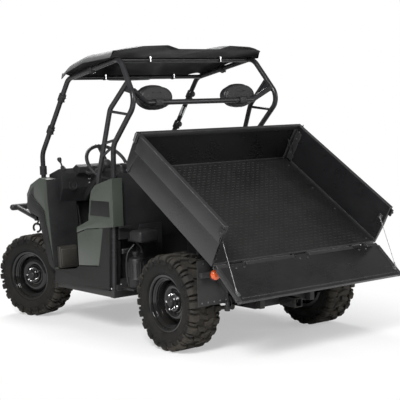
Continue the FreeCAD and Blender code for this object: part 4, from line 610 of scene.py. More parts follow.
def coil(bm, matrix, low, high):
    """A closed-end coil spring about the matrix's own axis."""
    before = set(bm.verts)
    ring = bmesh.ops.create_circle(bm, segments=8, radius=COIL_WIRE * MM)["verts"]
    bmesh.ops.rotate(bm, verts=ring, cent=(0, 0, 0), matrix=Matrix.Rotation(math.pi / 2, 3, "X"))
    bmesh.ops.translate(bm, verts=ring, vec=(COIL_RADIUS * MM, 0, low * MM))
    steps = COIL_STEPS * COIL_TURNS
    result = bmesh.ops.spin(bm, geom=ring + edges_of(ring), cent=(0, 0, 0), axis=(0, 0, 1),
                            angle=math.tau * COIL_TURNS, dvec=(0, 0, (high - low) * MM / steps), steps=steps)
    bm.faces.new(ring)
    bm.faces.new(verts_in(result["geom_last"]))
    made = [vert for vert in bm.verts if vert not in before]
    turned_out(bm, made)
    moved(bm, made, matrix)


def make_shocks():
    bodies, springs = bmesh.new(), bmesh.new()
    for axle_x, top_z in SHOCKS:
        for side in SIDES:
            low = Vector((axle_x + SHOCK_SHIFT, side * SHOCK_Y, SHOCK_LOW_Z))
            high = Vector((axle_x + SHOCK_SHIFT, side * SHOCK_TOP_Y, top_z))
            length = (high - low).length
            stand = facing(low, high - low)
            profile = [(0, 6), (12, 6), (14, 14), (14, 84), (36, 88), (38, 92), (38, 98), (24, 100),
                       (24, 190), (22, 196), (12, 198), (12, length - 84), (36, length - 84),
                       (38, length - 80), (38, length - 74), (20, length - 66), (15, length - 30),
                       (13, length - 8), (0, length - 8)]
            lathe(bodies, profile, stand, 32)
            for spot in (low, high):
                for half, radius, steps, soft in ((16, 17, 28, 1.5), (19, 7, 12, 1)):
                    across = Vector((half, 0, 0))
                    bar(bodies, spot - across, spot + across, radius, steps, soft)
            coil(springs, stand, 103, length - 89)
    piece("shock_bodies", bodies, FRAME_PAINT, "shock_steel", hides=["shocks"])
    piece("shock_springs", springs, SPRING_PAINT)


make_shocks()


# Cage: collars with cap screws.

CAGE_R, CAGE_TOP_HALF = 19.5, 624.0
HOOP_TOP = Vector((-269, CAGE_TOP_HALF, 2013))
FRONT_TOP = Vector((446, CAGE_TOP_HALF, 1892))
COUPLER = HOOP_TOP.lerp(FRONT_TOP, 0.55)
PILLAR_LOW = Vector((899, CAGE_TOP_HALF - 4, 1314))


def flip(point, side):
    return Vector((point[0], point[1] * side, point[2]))


def collar(bm, screws, start, end, share, length, radius):
    """A split clamp round a cage tube with two screws through its ears."""
    middle = start.lerp(end, share)
    along = (end - start).normalized()
    lathe(bm, [(CAGE_R - 1, 0), (radius - 2, 0), (radius, 2), (radius, length - 2), (radius - 2, length),
               (CAGE_R - 1, length)], facing(middle - along * length / 2, along), 32)
    across = along.cross(Vector((0, 0, 1))).normalized()
    ear = along.cross(across) * radius
    for step in (-0.3, 0.3):
        spot = middle + along * length * step + ear
        bar(bm, spot - across * 4, spot + across * 14, 6, 12, 1)
        bolt(screws, spot + across * 14, across, 4.5, 4)


def make_cage_fittings():
    collars, screws = bmesh.new(), bmesh.new()
    for side in SIDES:
        front, low = flip(FRONT_TOP, side), flip(PILLAR_LOW, side)
        collar(collars, screws, front, low, 0.24, 60, 28.5)
        collar(collars, screws, front, low, 0.67, 60, 28.5)
        collar(collars, screws, flip(HOOP_TOP, side), flip(COUPLER, side), 0.96, 46, 27.5)
    piece("cage_collars", collars, BLACK_PLASTIC)
    piece("cage_collar_screws", screws, BRIGHT_STEEL)


make_cage_fittings()


# Roof. Each station is a distance along, the edge's height, the crown's, the valley's and half the width.

ROOF_STATIONS = ((-402, 2056, 2098, 2071, 700), (-280, 2066, 2103, 2078, 700), (110, 2046, 2082, 2056, 700),
                 (355, 1988, 2044, 2016, 692), (470, 1936, 1992, 1962, 680), (545, 1890, 1902, 1880, 640))
ROOF_REAR, ROOF_FRONT, ROOF_HALF = -400.0, 545.0, 700.0
ROOF_PLAN = ((0, ROOF_REAR, ROOF_FRONT), (440, ROOF_REAR, 539), (560, ROOF_REAR + 26, 521), (600, -350, 515),
             (670, ROOF_REAR + 90, 474), (ROOF_HALF, ROOF_REAR + 150, 455))
ROOF_WALL, ROOF_EDGE, ROOF_SHARP_ANGLE = 6, 2, 50
ROOF_ROWS, ROOF_COLUMNS, ROOF_SMOOTHING = 60, 96, 7


def along_table(rows, key, column):
    """The value of one column at a key, between its neighbours in the table."""
    for before, after in zip(rows, rows[1:]):
        if key <= after[0]:
            share = max(0.0, (key - before[0]) / (after[0] - before[0]))
            return before[column] + (after[column] - before[column]) * share
    return rows[-1][column]


def roof_height(x, across):
    """The roof's top at a place: a valley between two crowns, falling to a skirt at each side."""
    edge, crown, valley, half = (along_table(ROOF_STATIONS, x, column) for column in (1, 2, 3, 4))
    rows = ((0, valley), (190, valley), (285, crown), (half - 200, crown - 8), (half - 14, edge),
            (half, edge - 50))
    return along_table(rows, abs(across), 1)


def make_roof():
    bm = bmesh.new()
    bmesh.ops.create_grid(bm, x_segments=ROOF_ROWS, y_segments=ROOF_COLUMNS, size=1.0)
    for vert in bm.verts:
        wide = abs(vert.co.y) * ROOF_HALF
        rear, front = along_table(ROOF_PLAN, wide, 1), along_table(ROOF_PLAN, wide, 2)
        x = rear + (front - rear) * (vert.co.x + 1) / 2
        y = vert.co.y * along_table(ROOF_STATIONS, x, 4)
        vert.co = Vector((x, y, roof_height(x, y))) * MM
    inner = [vert for vert in bm.verts if not vert.is_boundary]
    for _ in range(ROOF_SMOOTHING):
        bmesh.ops.smooth_vert(bm, verts=inner, factor=0.5, use_axis_z=True)
    bmesh.ops.recalc_face_normals(bm, faces=bm.faces)
    if sum(face.normal.z for face in bm.faces) < 0:
        bmesh.ops.reverse_faces(bm, faces=bm.faces)
    item = piece("roof_shell", bm, ROOF_PLASTIC, hides=["roof"], smooth_angle=ROOF_SHARP_ANGLE)
    wall = item.modifiers.new("wall", "SOLIDIFY")
    wall.thickness = ROOF_WALL * MM
    wall.offset = -1.0
    edge = item.modifiers.new("edge", "BEVEL")
    edge.width = ROOF_EDGE * MM
    edge.segments = 2
    edge.limit_method = "ANGLE"
    edge.angle_limit = math.radians(ROOF_SHARP_ANGLE)


make_roof()


# Body panels, moulded.

LAMP_HOUSING = ((Vector((1012, 0, 0)), Vector((1, 0, 0))), (Vector((1012, 0, 1052)), Vector((0.45, 0, 1))))


def make_fenders():
    """Olive skins whose front ends are the dark housings round the lamps."""
    item = moulded("fender_skins", OLIVE, "fenders", 6, 3)
    bm = bmesh.new()
    bm.from_mesh(item.data)
    for spot, way in LAMP_HOUSING:
        bmesh.ops.bisect_plane(bm, geom=list(bm.verts) + list(bm.edges) + list(bm.faces), dist=1e-6,
                               plane_co=spot * MM, plane_no=way.normalized())
    item.data.materials.append(BLACK_PLASTIC)
    (front, ahead), (top, upward) = LAMP_HOUSING
    for face in bm.faces:
        middle = face.calc_center_median()
        if (middle - front * MM).dot(ahead) > 0 and (middle - top * MM).dot(upward) < 0:
            face.material_index = 1
    bm.to_mesh(item.data)
    bm.free()


moulded("hood_skin", OLIVE, "hood", 8, 3)
make_fenders()
for name, material, node, width, segments in (
        ("arch_flare_mouldings", CLADDING, "arch_flares", 5, 3),
        ("upper_side_panels", OLIVE, "side_upper", 4, 3),
        ("lower_side_panels", OLIVE, "side_lower", 5, 3),
        ("rocker_mouldings", CLADDING, "rockers", 5, 3),
        ("dash_moulding", BLACK_PLASTIC, "dashboard", 5, 3),
        ("seat_box_moulding", BLACK_PLASTIC, "seat_box", 5, 3),
        ("nose_moulding", BLACK_PLASTIC, "nose", 3, 2),
        ("rear_corner_plates", FRAME_PAINT, "rear_plates", 1, 2),
        ("rear_bar_pressing", FRAME_PAINT, "rear_bar", 3, 2),
        ("receiver_tube", FRAME_PAINT, "hitch_receiver", 1.5, 2),
        ("bed_boards", BED_PAINT, "bed_sides", 2, 2),
        ("bed_front_board", BED_PAINT, "bed_headboard", 2, 2),
        ("gate_pressing", BED_PAINT, "tailgate", 2, 2),
        ("engine_casting", CAST, "engine_block", 8, 3)):
    moulded(name, material, node, width, segments)


# Padded pieces: swelled as stuffed cloth from the spaces that their solids hold.

PAD_PRESSURE, PAD_FRAMES = 4.0, 20
PAD_SHARP_ANGLE = 35


def swelled(bm, name, voxel, cap, low, high):
    """A closed form remeshed evenly and blown up as cloth; each point's travel is capped and boxed in."""
    item = linked(name, mesh_of(name, bm))
    even = item.modifiers.new("even", "REMESH")
    even.mode = "VOXEL"
    even.voxel_size = voxel * MM
    shell = bpy.data.meshes.new_from_object(item.evaluated_get(bpy.context.evaluated_depsgraph_get()))
    item.modifiers.clear()
    item.data = shell
    spots = [vert.co.copy() for vert in shell.vertices]
    cloth = item.modifiers.new("stuffed", "CLOTH")
    cloth.settings.use_pressure = True
    cloth.settings.uniform_pressure_force = PAD_PRESSURE
    cloth.settings.effector_weights.gravity = 0.0
    for step in range(1, PAD_FRAMES + 1):
        bpy.context.scene.frame_set(step)
    blown = item.evaluated_get(bpy.context.evaluated_depsgraph_get()).data
    for index, vert in enumerate(blown.vertices):
        travel = vert.co - spots[index]
        if travel.length > cap * MM:
            travel *= cap * MM / travel.length
        spots[index] = spots[index] + travel
    item.modifiers.clear()
    bpy.context.scene.frame_set(1)
    made = bmesh.new()
    made.from_mesh(shell)
    for vert, spot in zip(made.verts, spots):
        vert.co = Vector([min(max(spot[axis], low[axis] * MM), high[axis] * MM) for axis in range(3)])
    bpy.data.objects.remove(item)
    return made


def grooved(bm, seams):
    """Press sewn seams into a padded form; each is a plane's point and normal, width, depth and test."""
    moves = []
    for vert in bm.verts:
        deep = 0.0
        for point, way, wide, depth, wanted in seams:
            away = (vert.co / MM - Vector(point)).dot(Vector(way))
            if abs(away) < 3 * wide and wanted(vert):
                deep = max(deep, depth * math.exp(-(away / wide) ** 2))
        moves.append(-vert.normal * deep * MM)
    for vert, move in zip(bm.verts, moves):
        vert.co += move


def one_side(node, width, scale):
    """The left half of a soft CAD form, its edges rounded and drawn in about its own middle."""
    bm = merged(node)
    bmesh.ops.delete(bm, geom=[vert for vert in bm.verts if vert.co.y < 0], context="VERTS")
    rounded(bm, (), sharp_edges(bm.edges, PAD_SHARP_ANGLE), width, 3)
    low = Vector([min(vert.co[axis] for vert in bm.verts) for axis in range(3)])
    high = Vector([max(vert.co[axis] for vert in bm.verts) for axis in range(3)])
    middle = (low + high) / 2
    for vert in bm.verts:
        vert.co = Vector([middle[axis] + (vert.co[axis] - middle[axis]) * scale[axis] for axis in range(3)])
    return bm, low / MM, high / MM


def both_halves(bm):
    """Add the mirror image of a left form on the right."""
    extra = bmesh.ops.duplicate(bm, geom=list(bm.faces))["geom"]
    bmesh.ops.scale(bm, vec=(1, -1, 1), verts=verts_in(extra))
    bmesh.ops.reverse_faces(bm, faces=[item for item in extra if isinstance(item, bmesh.types.BMFace)])


def pad(name, node, soft, scale, voxel, cap, below, above, seams):
    """A pair of padded pieces in the spaces of a node's two solids."""
    bm, low, high = one_side(node, soft, scale)
    bm = swelled(bm, name, voxel, cap, low - Vector(below), high + Vector(above))
    for _ in range(2):
        bmesh.ops.smooth_vert(bm, verts=bm.verts, factor=0.4, use_axis_x=True, use_axis_y=True,
                              use_axis_z=True)
    bm.normal_update()
    grooved(bm, seams(low, high))
    both_halves(bm)
    item = piece(name, bm, VINYL, hides=[node], smooth_angle=80)
    rounder = item.modifiers.new("rounder", "SUBSURF")
    rounder.levels = rounder.render_levels = 1


def cushion_seams(low, high):
    """Two channels across the seat, two along it and one seam round its side."""
    middle = (low + high) / 2
    top = lambda vert: vert.normal.z > 0.3
    side = lambda vert: abs(vert.normal.z) < 0.8
    return [((low.x + 150, 0, 0), (1, 0, 0), 5, 5, top), ((low.x + 290, 0, 0), (1, 0, 0), 5, 5, top),
            ((0, middle.y - 190, 0), (0, 1, 0), 5, 4, top), ((0, middle.y + 190, 0), (0, 1, 0), 5, 4, top),
            ((0, 0, high.z - 34), (0, 0, 1), 4, 4, side)]


def back_seams(low, high):
    """Two channels across the seat back's face, two up it and a seam round its side."""
    middle = (low + high) / 2
    front = lambda vert: vert.normal.x > 0.3
    side = lambda vert: abs(vert.normal.x) < 0.7
    return [((0, 0, low.z + 130), (0, 0, 1), 5, 5, front), ((0, 0, low.z + 260), (0, 0, 1), 5, 5, front),
            ((0, middle.y - 180, 0), (0, 1, 0), 5, 4, front),
            ((0, middle.y + 180, 0), (0, 1, 0), 5, 4, front),
            ((middle.x - 28, 0, middle.z), (0.97, 0, 0.24), 4, 4, side)]


def headrest_seams(low, high):
    """A seam round the headrest's edge."""
    middle = (low + high) / 2
    return [((middle.x - 8, 0, 0), (1, 0, 0), 4, 3, lambda vert: abs(vert.normal.x) < 0.8)]


pad("seat_cushion_pads", "seat_cushions", 18, (0.97, 0.975, 0.93), 8, 14, (4, 4, 0), (6, 4, 9),
    cushion_seams)
pad("seat_back_pads", "seat_backs", 18, (0.93, 0.975, 0.97), 8, 14, (0, 4, 0), (8, 4, 6), back_seams)
pad("headrest_pads", "headrests", 12, (0.88, 0.97, 0.95), 5, 8, (0, 3, 3), (6, 3, 3), headrest_seams)


# Headrests' carriers, steering wheel, lever and dashboard details.

BAR_Z, HEADREST_Y, HEADREST_Z, PLATE_STEPS = 1688.0, 393.0, 1724.0, 40


def make_headrest_backs():
    """A plate behind each headrest with a slot, held on the bar by a strap and two bolts."""
    plates, screws = bmesh.new(), bmesh.new()
    middle_z = HEADREST_Z + 4
    for side in SIDES:
        y = side * HEADREST_Y
        outline = [Vector((-377.4, y + 128 * math.cos(angle), middle_z + 74 * math.sin(angle))) * MM
                   for angle in (math.tau * i / PLATE_STEPS for i in range(PLATE_STEPS))]
        for vert in prism(plates, outline, (-5 * MM, 0, 0))[1]:
            vert.co.y = y * MM + (vert.co.y - y * MM) * 0.96
            vert.co.z = middle_z * MM + (vert.co.z - middle_z * MM) * 0.94
        block(plates, (-386, y - 42, HEADREST_Z + 30), (-381, y + 42, HEADREST_Z + 44), 2.4)
        block(plates, (-424, y - 34, BAR_Z - 25), (-377, y + 34, BAR_Z - 19), 2)
        block(plates, (-424, y - 34, BAR_Z - 25), (-418, y + 34, BAR_Z + 25), 2)
        block(plates, (-424, y - 34, BAR_Z + 19), (-377, y + 34, BAR_Z + 25), 2)
        for across in (-22, 22):
            bolt(screws, (-424, y + across, BAR_Z), (-1, 0, 0), 6, 5)
            bolt(screws, (-382.5, y + across * 3.4, HEADREST_Z + 8), (-1, 0, 0), 5, 4)
    turned_out(plates, plates.verts)
    piece("headrest_carriers", plates, BLACK_PLASTIC)
    piece("headrest_screws", screws, FRAME_PAINT, "bright_steel", smooth_angle=20)


COLUMN_ANGLE = math.radians(40)
COLUMN = Vector((-math.cos(COLUMN_ANGLE), 0, math.sin(COLUMN_ANGLE)))
STEERING = at((372, 350, 1235), Vector((0, 0, 1)).rotation_difference(COLUMN))
GRIP_RADIUS = 172


def make_steering_wheel():
    """A padded grip with three spokes that widen to it, a domed hub and the shaft."""
    bm = bmesh.new()
    section = [(GRIP_RADIUS + 14.5 * math.cos(math.tau * i / 14), 12.5 * math.sin(math.tau * i / 14))
               for i in range(14)]
    rib = [(GRIP_RADIUS + 16 * math.cos(angle), 0, 14 * math.sin(angle))
           for angle in (0.3 + 0.35 * i for i in range(8))]
    lathe(bm, section, steps=72)
    for angle in (0, 120, 240):
        spoke = block(bm, (30, -15, -6), (166, 15, 6), 4.5, 3)
        for vert in spoke:
            reach = vert.co.x / MM
            vert.co.y *= 0.72 + 0.5 * ((reach - 98) / 70) ** 2
            vert.co.z -= 0.010 * (1 - ((reach - 100) / 70) ** 2) * 0.5
        moved(bm, spoke, Matrix.Rotation(math.radians(angle), 4, "Z"))
        for step in (-9, 0, 9):
            turn = Matrix.Rotation(math.radians(angle + step), 4, "Z")
            moved(bm, wire(bm, rib, 2, 6), turn)
    lathe(bm, [(0, 22), (14, 21), (27, 17), (34, 8), (42, -4), (44, -14), (24, -15), (12, -16), (11, -330),
               (0, -330)], steps=40)
    piece("steering_wheel_grip", bm, BLACK_PLASTIC, body="steering_wheel", hides=["steering_wheel"],
          smooth_angle=40, matrix=STEERING)


def make_lever():
    """The gear lever with its tapered knob and a pleated boot."""
    bm = bmesh.new()
    foot, top = Vector((700, 550, 1185)), Vector((735, 560, 1262))
    stand = facing(foot, top - foot)
    lathe(bm, [(0, 0), (8, 0), (7, 40), (6, 74), (0, 74)], stand, 20)
    boot = [(0, -4), (26, -4), (25, 4), (20, 8), (22, 13), (17, 17), (19, 22), (14, 26), (15, 31), (9, 36),
            (0, 36)]
    knob = [(0, 66), (9, 66), (11, 74), (16, 84), (18, 94), (16, 103), (10, 109), (0, 110)]
    for profile in (boot, knob):
        lathe(bm, profile, stand, 24)
    piece("gear_lever", bm, BLACK_PLASTIC, hides=["dash_lever"], smooth_angle=45)


def make_dash_details():
    """Vents, switches, panels and the instrument's ring and glass."""
    dark, marks, glass = bmesh.new(), bmesh.new(), bmesh.new()
    for y in (500, -80, -500):
        stand = facing((652, y, 1062), (-0.996, 0, 0.09))
        lathe(dark, [(30, 0), (38, 0), (40, 5), (38, 9), (34, 9), (31, 4)], stand, 36)
        for step in (-18, -6, 6, 18):
            wide = math.sqrt(31 ** 2 - step ** 2)
            block(dark, (step - 1.2, -wide, 0.5), (step + 1.2, wide, 5.5), 0.6, 1, matrix=stand)
    switches = facing((656, 345, 1118), (-1, 0, 0.16))
    for index, y in enumerate((-44, -14, 16, 46)):
        block(dark, (-15, y - 11, -3), (15, y + 11, 6), 2.5, matrix=switches)
        block(marks, (-9, y - 3.2, 5.6), (-2, y + 3.2, 6.8), 0.6, 1, matrix=switches)
        if index % 2:
            block(marks, (4, y - 4, 5.6), (9, y + 4, 6.8), 0.6, 1, matrix=switches)
    for y in (-250, 120):
        block(dark, (646, y - 60, 985), (652, y + 60, 1020), 2.5)
    dial = facing((618, 350, 1180), (-0.55, 0, 0.84))
    lathe(dark, [(50, -14), (62, -14), (63, 2), (60, 6), (52, 6), (50, 2)], dial)
    lathe(glass, [(0, -4), (51, -4), (51, 1), (30, 4), (0, 5)], dial, 40)
    piece("dash_fittings", dark, BLACK_PLASTIC)
    piece("switch_marks", marks, PALE_MARK)
    piece("dial_glass", glass, DIAL)


make_headrest_backs()
make_steering_wheel()
make_lever()
make_dash_details()


# Cargo bed: mat, rails, latches, corner braces, sill and cables. Places are in the bed's own frame.

MAT_ROWS, MAT_ROW, MAT_DASHES, MAT_DASH = 35, 30, 31, 46
DASH_WIDE, DASH_LONG, DASH_SLOPE, DASH_LOW, DASH_HIGH = 8, 27, (2, 3), 65.5, 68.2
SILL_SPANS = ((-735, -632), (-490, -70), (70, 490), (632, 735))


def mat_dash(bm, u, y):
    """One raised dash of the mat with sloped sides, open below; gives its vertices."""
    corners = [Vector((u + across, y + along, DASH_LOW)) * MM for across, along in (
        (0, 0), (DASH_WIDE, 0), (DASH_WIDE, DASH_LONG), (0, DASH_LONG))]
    low, top = prism(bm, corners, (0, 0, (DASH_HIGH - DASH_LOW) * MM))
    turned_out(bm, low + top)
    middle = at((-u - DASH_WIDE / 2, -y - DASH_LONG / 2, 0))
    narrower = (1 - 2 * DASH_SLOPE[0] / DASH_WIDE, 1 - 2 * DASH_SLOPE[1] / DASH_LONG, 1)
    bmesh.ops.scale(bm, vec=narrower, space=middle, verts=top)
    below = [face for face in faces_of(low) if set(face.verts) == set(low)]
    bmesh.ops.delete(bm, geom=below, context="FACES_ONLY")
    return low + top


def make_bed_mat():
    """A rubber mat with staggered rows of raised dashes."""
    bm = bmesh.new()
    block(bm, (BED_BACK + 6, -732, 62.3), (BED_FRONT - 28, 732, 66), 1.2, 1)
    for row in range(2):
        dash = mat_dash(bm, BED_BACK + 30 + row * MAT_ROW, -712 + row * MAT_DASH / 2)
        line = repeated(bm, dash, MAT_DASHES, (0, MAT_DASH, 0))
        repeated(bm, line, (MAT_ROWS + 1 - row) // 2, (2 * MAT_ROW, 0, 0))
    piece("bed_mat", bm, BED_MAT, body="bed", smooth_angle=20, matrix=BED)


def make_bed_trim():
    """Caps along the boards' tops, corner angles, stiffeners along the outsides and the sill angle, in a
    lighter copy of the bed paint that is a painted highlight where tops and upper faces catch light.
    """
    bm = bmesh.new()
    for side in SIDES:
        for low, high, soft in (
                ((BED_BACK - 1, 735, BED_HIGH - 2), (BED_FRONT + 1, 763.5, BED_HIGH + 2.5), 1.5),
                ((BED_FRONT - 32, 700, 62), (BED_FRONT - 19, 736, BED_HIGH - 30), 2),
                ((BED_FRONT - 88, 729.5, 66), (BED_FRONT - 24, 736, BED_HIGH - 40), 2),
                ((BED_BACK + 4, 729.5, 62), (BED_FRONT - 30, 736, 84), 2),
                ((BED_BACK + 8, 761, 236), (BED_FRONT - 50, 764.5, BED_HIGH - 1), 1.5)):
            block(bm, low, high, soft, side=side)
    block(bm, (BED_FRONT - 27, -732, BED_HIGH - 30), (BED_FRONT + 1, 732, BED_HIGH + 2.5))
    block(bm, (BED_FRONT - 30, -733, 60), (BED_FRONT - 18, 733, 76), 2.5)
    for low, high in SILL_SPANS:
        block(bm, (BED_BACK - 18, low, 31), (BED_BACK + 2, high, 36), 1.2, 1)
        block(bm, (BED_BACK - 2, low, 31), (BED_BACK + 2, high, 52), 1.2, 1)
    block(bm, (BED_BACK - 1, -734, 50), (BED_BACK + 8, 734, 64.5), 2)
    piece("bed_trim", bm, LIT_BED_PAINT, body="bed", matrix=BED)


def make_bed_hardware():
    """Braces in the front corners, latch blocks with their pins, cable hooks and bolts."""
    dark, bright = bmesh.new(), bmesh.new()
    for side in SIDES:
        inward, outward = (0, -side, 0), (0, side, 0)
        bar(dark, (BED_FRONT - 34, side * 668, 250), (BED_FRONT - 96, side * 728, 120), 5, 12, 1)
        for w in (322, 262, 140):
            bolt(bright, (BED_FRONT - 56, side * 729, w), inward, 5.5, 4.5)
        for u in (BED_BACK + 40, 60, 330, BED_FRONT - 120):
            bolt(bright, (u, side * 690, 66), (0, 0, 1), 5, 3)
        block(dark, (BED_FRONT - 46, 762, BED_HIGH - 66), (BED_FRONT - 4, 773, BED_HIGH - 2), 3, side=side)
        pin = (BED_FRONT - 25, side * 776)
        bar(bright, (*pin, BED_HIGH - 74), (*pin, BED_HIGH + 6), 5, 14, 1.5)
        for w in (BED_HIGH - 56, BED_HIGH - 14):
            bolt(bright, (BED_FRONT - 12, side * 773, w), outward, 4.5, 4)
        for w in (150, 100, 62):
            bolt(bright, (BED_FRONT - 22, side * 756, w), outward, 4.5, 4)
        block(dark, (BED_BACK - 12, 761, BED_HIGH - 74), (BED_BACK + 34, 775, BED_HIGH - 20), 3, side=side)
        latch = Vector((BED_BACK - 3, side * 770, BED_HIGH - 47))
        bar(dark, latch, latch + Vector(outward) * 16, 9, 18, 2)
        block(bright, (BED_BACK + 24, 728, 236), (BED_BACK + 56, 736, 274), 2.5, side=side)
        bar(bright, (BED_BACK + 40, side * 737, 255), (BED_BACK + 40, side * 722, 255), 6, 16, 1.5)
        for u in (BED_BACK + 210, 150, 520):
            bolt(dark, (u, side * 761.5, 200), outward, 5, 3)
    piece("bed_brackets", dark, FRAME_PAINT, body="bed", matrix=BED)
    piece("bed_hooks", bright, DULL_BRIGHT, body="bed", smooth_angle=20, matrix=BED)


def make_gate_details():
    """The gate's hinge covers, upper bead, end brackets, cable eyes, latch pins and hinge bolts."""
    dark, bright = bmesh.new(), bmesh.new()
    for low, high in SILL_SPANS:
        block(dark, (11, low, -4), (16.9, high, 26), 1.5, 1)
    block(dark, (15, -GATE_HALF + 40, GATE_TOP - 30), (18.5, GATE_HALF - 40, GATE_TOP - 22))
    for side in SIDES:
        block(dark, (-6, GATE_HALF - 26, 22), (19, GATE_HALF + 1, GATE_TOP + 1), 2.5, side=side)
        block(bright, (17, 702, GATE_TOP - 76), (23, 730, GATE_TOP - 44), 2.2, side=side)
        bar(bright, (17, side * 722, GATE_TOP - 60), (30, side * 722, GATE_TOP - 60), 6, 16, 1.5)
        latch = Vector((4, side * (GATE_HALF - 4), GATE_TOP - 20))
        bar(dark, latch, latch + Vector((0, side * 13, 0)), 8, 18, 2)
    for y in (-560, 0, 560):
        for across in (-34, 34):
            bolt(dark, (17, y + across, 38), (1, 0, 0), 5, 4)
    # The gate's covers, beads, brackets and bolts here are in the lighter bed paint, a painted highlight.
    piece("gate_beads", dark, LIT_BED_PAINT, body="tailgate", matrix=GATE)
    piece("gate_fittings", bright, DULL_BRIGHT, body="tailgate", smooth_angle=20, matrix=GATE)


def make_cables():
    """The two wire cables that hold the gate, with a swaged sleeve and an eye at each end."""
    top = BED @ Vector((-0.310, 0.7257, 0.255))
    low = GATE @ Vector((0.0245, 0.7257, 0.245))
    bm = bmesh.new()
    for side in SIDES:
        start, end = flip(top, side) / MM, flip(low, side) / MM
        way = (end - start).normalized()
        wire(bm, [start.lerp(end, step / 24) for step in range(25)], 2.0, 8)
        for spot, inward in ((start, way), (end, -way)):
            wire(bm, [spot + inward * 14, spot + inward * 24, spot + inward * 40], 4.2, 10)
            eye = [spot + inward * 7 + inward * 9 * math.cos(angle) + Vector((0, 8 * math.sin(angle), 0))
                   for angle in (math.tau * step / 16 for step in range(17))]
            wire(bm, eye, 1.6, 6)
    item = piece("gate_cable_lines", bm, CABLE_STEEL, body=None, hides=["gate_cables"], smooth_angle=60)
    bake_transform(item)


make_bed_mat()
make_bed_trim()
make_bed_hardware()
make_gate_details()
make_cables()


# Cab linings, rocker returns, splash panels and what stands behind them.


def panel(bm, outline, low, high, soft=2.0, segments=2, side=1, across=True):
    """A plate on an outline of distances along and heights, drawn out across the vehicle on the given
    side, or on distances across and heights, drawn out along it; its edges are rounded."""
    low, high = sorted((side * low, side * high))
    spots = [((x, low, z) if across else (low, x, z)) for x, z in outline]
    move = (high - low) * MM
    near, far = prism(bm, [Vector(spot) * MM for spot in spots], (0, move, 0) if across else (move, 0, 0))
    turned_out(bm, near + far)
    rounded(bm, (), edges_of(near + far), soft, segments)


BAND_PLANE = 695.0
BAND = [(77, 982), (-167, 982), (-167, 871), (99, 871)]
FENDER_BACK = [(712, 1118), (707, 956), (686, 760), (656, 485), (646, 432)]


def make_cab_linings():
    """Dark linings over the fenders' rear faces, and boxes at their feet with a raised face."""
    dark, box = bmesh.new(), bmesh.new()
    outline = [(x - 0.5, z) for x, z in FENDER_BACK] + [(x - 7, z) for x, z in reversed(FENDER_BACK)]
    for side in SIDES:
        panel(dark, outline, 446, 706, 2.2, side=side)
        panel(box, [(643, 596), (604, 590), (592, 420), (640, 420)], 512, 676, 9, 3, side)
        panel(box, [(604, 570), (599, 569), (588, 440), (593, 440)], 528, 660, 2.5, side=side)
    piece("cab_linings", dark, BLACK_PLASTIC)
    piece("toe_boxes", box, TOE_PLASTIC)


def make_rocker_returns():
    """The cladding's rear and lower returns, which close it against the frame."""
    bm = bmesh.new()
    for side in SIDES:
        panel(bm, [(-160, 790), (-129, 345), (-122, 345), (-152, 790)], 602, 699, side=side)
        panel(bm, [(-129, 346), (384, 326), (654, 316), (652, 306), (384, 315), (-131, 334)], 684, 699.5, 3,
              side=side)
    piece("rocker_returns", bm, CLADDING)


def make_splash_panels():
    """Ribbed panels ahead of the rear wheels, cut away outboard for the tank and the air box."""
    bm = bmesh.new()
    outline = ((270, 345), (520, 345), (512, 520), (496, 690), (470, 802), (270, 802))
    for side in SIDES:
        panel(bm, [(side * y, z) for y, z in outline], -214, -208, across=False)
        for z in (430, 540, 650):
            block(bm, (-219, 300, z), (-212, 480, z + 12), 3, side=side)
        block(bm, (-214, 520, 788), (-206, 649, 802), 2, side=side)
        block(bm, (-215, 270, 336), (-207, 690, 378), 2.5, side=side)
    piece("splash_pressings", bm, BLACK_PLASTIC, hides=["splash_panels"])


TANK = [(0, 0), (50, 0), (58, 8), (58, 60), (61, 66), (58, 72), (58, 190), (50, 214), (30, 224), (18, 226),
        (18, 240), (24, 242), (24, 258), (20, 262), (0, 262)]
TANK_X, TANK_Y, TANK_Z = -300, 574, 356


def make_engine_room():
    """Air box, oil tank, hoses, brackets and a shelf in the gap behind the cab."""
    dark, bright = bmesh.new(), bmesh.new()
    for side in SIDES:
        block(dark, (-384, 420, 684), (-244, 588, 772), 22, 3, side)
        for x in (-350, -320, -290, -260):
            block(dark, (x - 4, 418, 700), (x + 4, 590, 756), 3, side=side)
        lathe(dark, TANK, at((TANK_X, side * TANK_Y, TANK_Z)), 40)
        for angle in (math.tau * turn / 12 for turn in range(12)):
            spot = (TANK_X + 59 * math.cos(angle), side * TANK_Y + 59 * math.sin(angle))
            bar(dark, (*spot, 436), (*spot, 540), 3.5, 8)
        for hose, radius, steps in (
                (((-300, 520, 600), (-262, 500, 640), (-250, 540, 690), (-240, 590, 700)), 11, 12),
                (((-252, 610, 356), (-246, 622, 480), (-250, 610, 600), (-262, 560, 664)), 7, 10)):
            wire(dark, smooth_path([flip(spot, side) for spot in hose]), radius, steps)
        block(bright, (-246, 560, 632), (-222, 640, 638), side=side)
        block(bright, (-226, 560, 604), (-222, 640, 638), side=side)
        for y in (574, 626):
            bolt(bright, (-226, side * y, 620), (-1, 0, 0), 6, 5)
        block(dark, (-358, 504, 342), (-210, 640, 358), 3, side=side)
        for z in (694, 744):
            block(dark, (-252, 430, z), (-210, 484, z + 14), 3, side=side)
    piece("engine_room", dark, BLACK_PLASTIC)
    piece("engine_room_brackets", bright, DULL_BRIGHT)


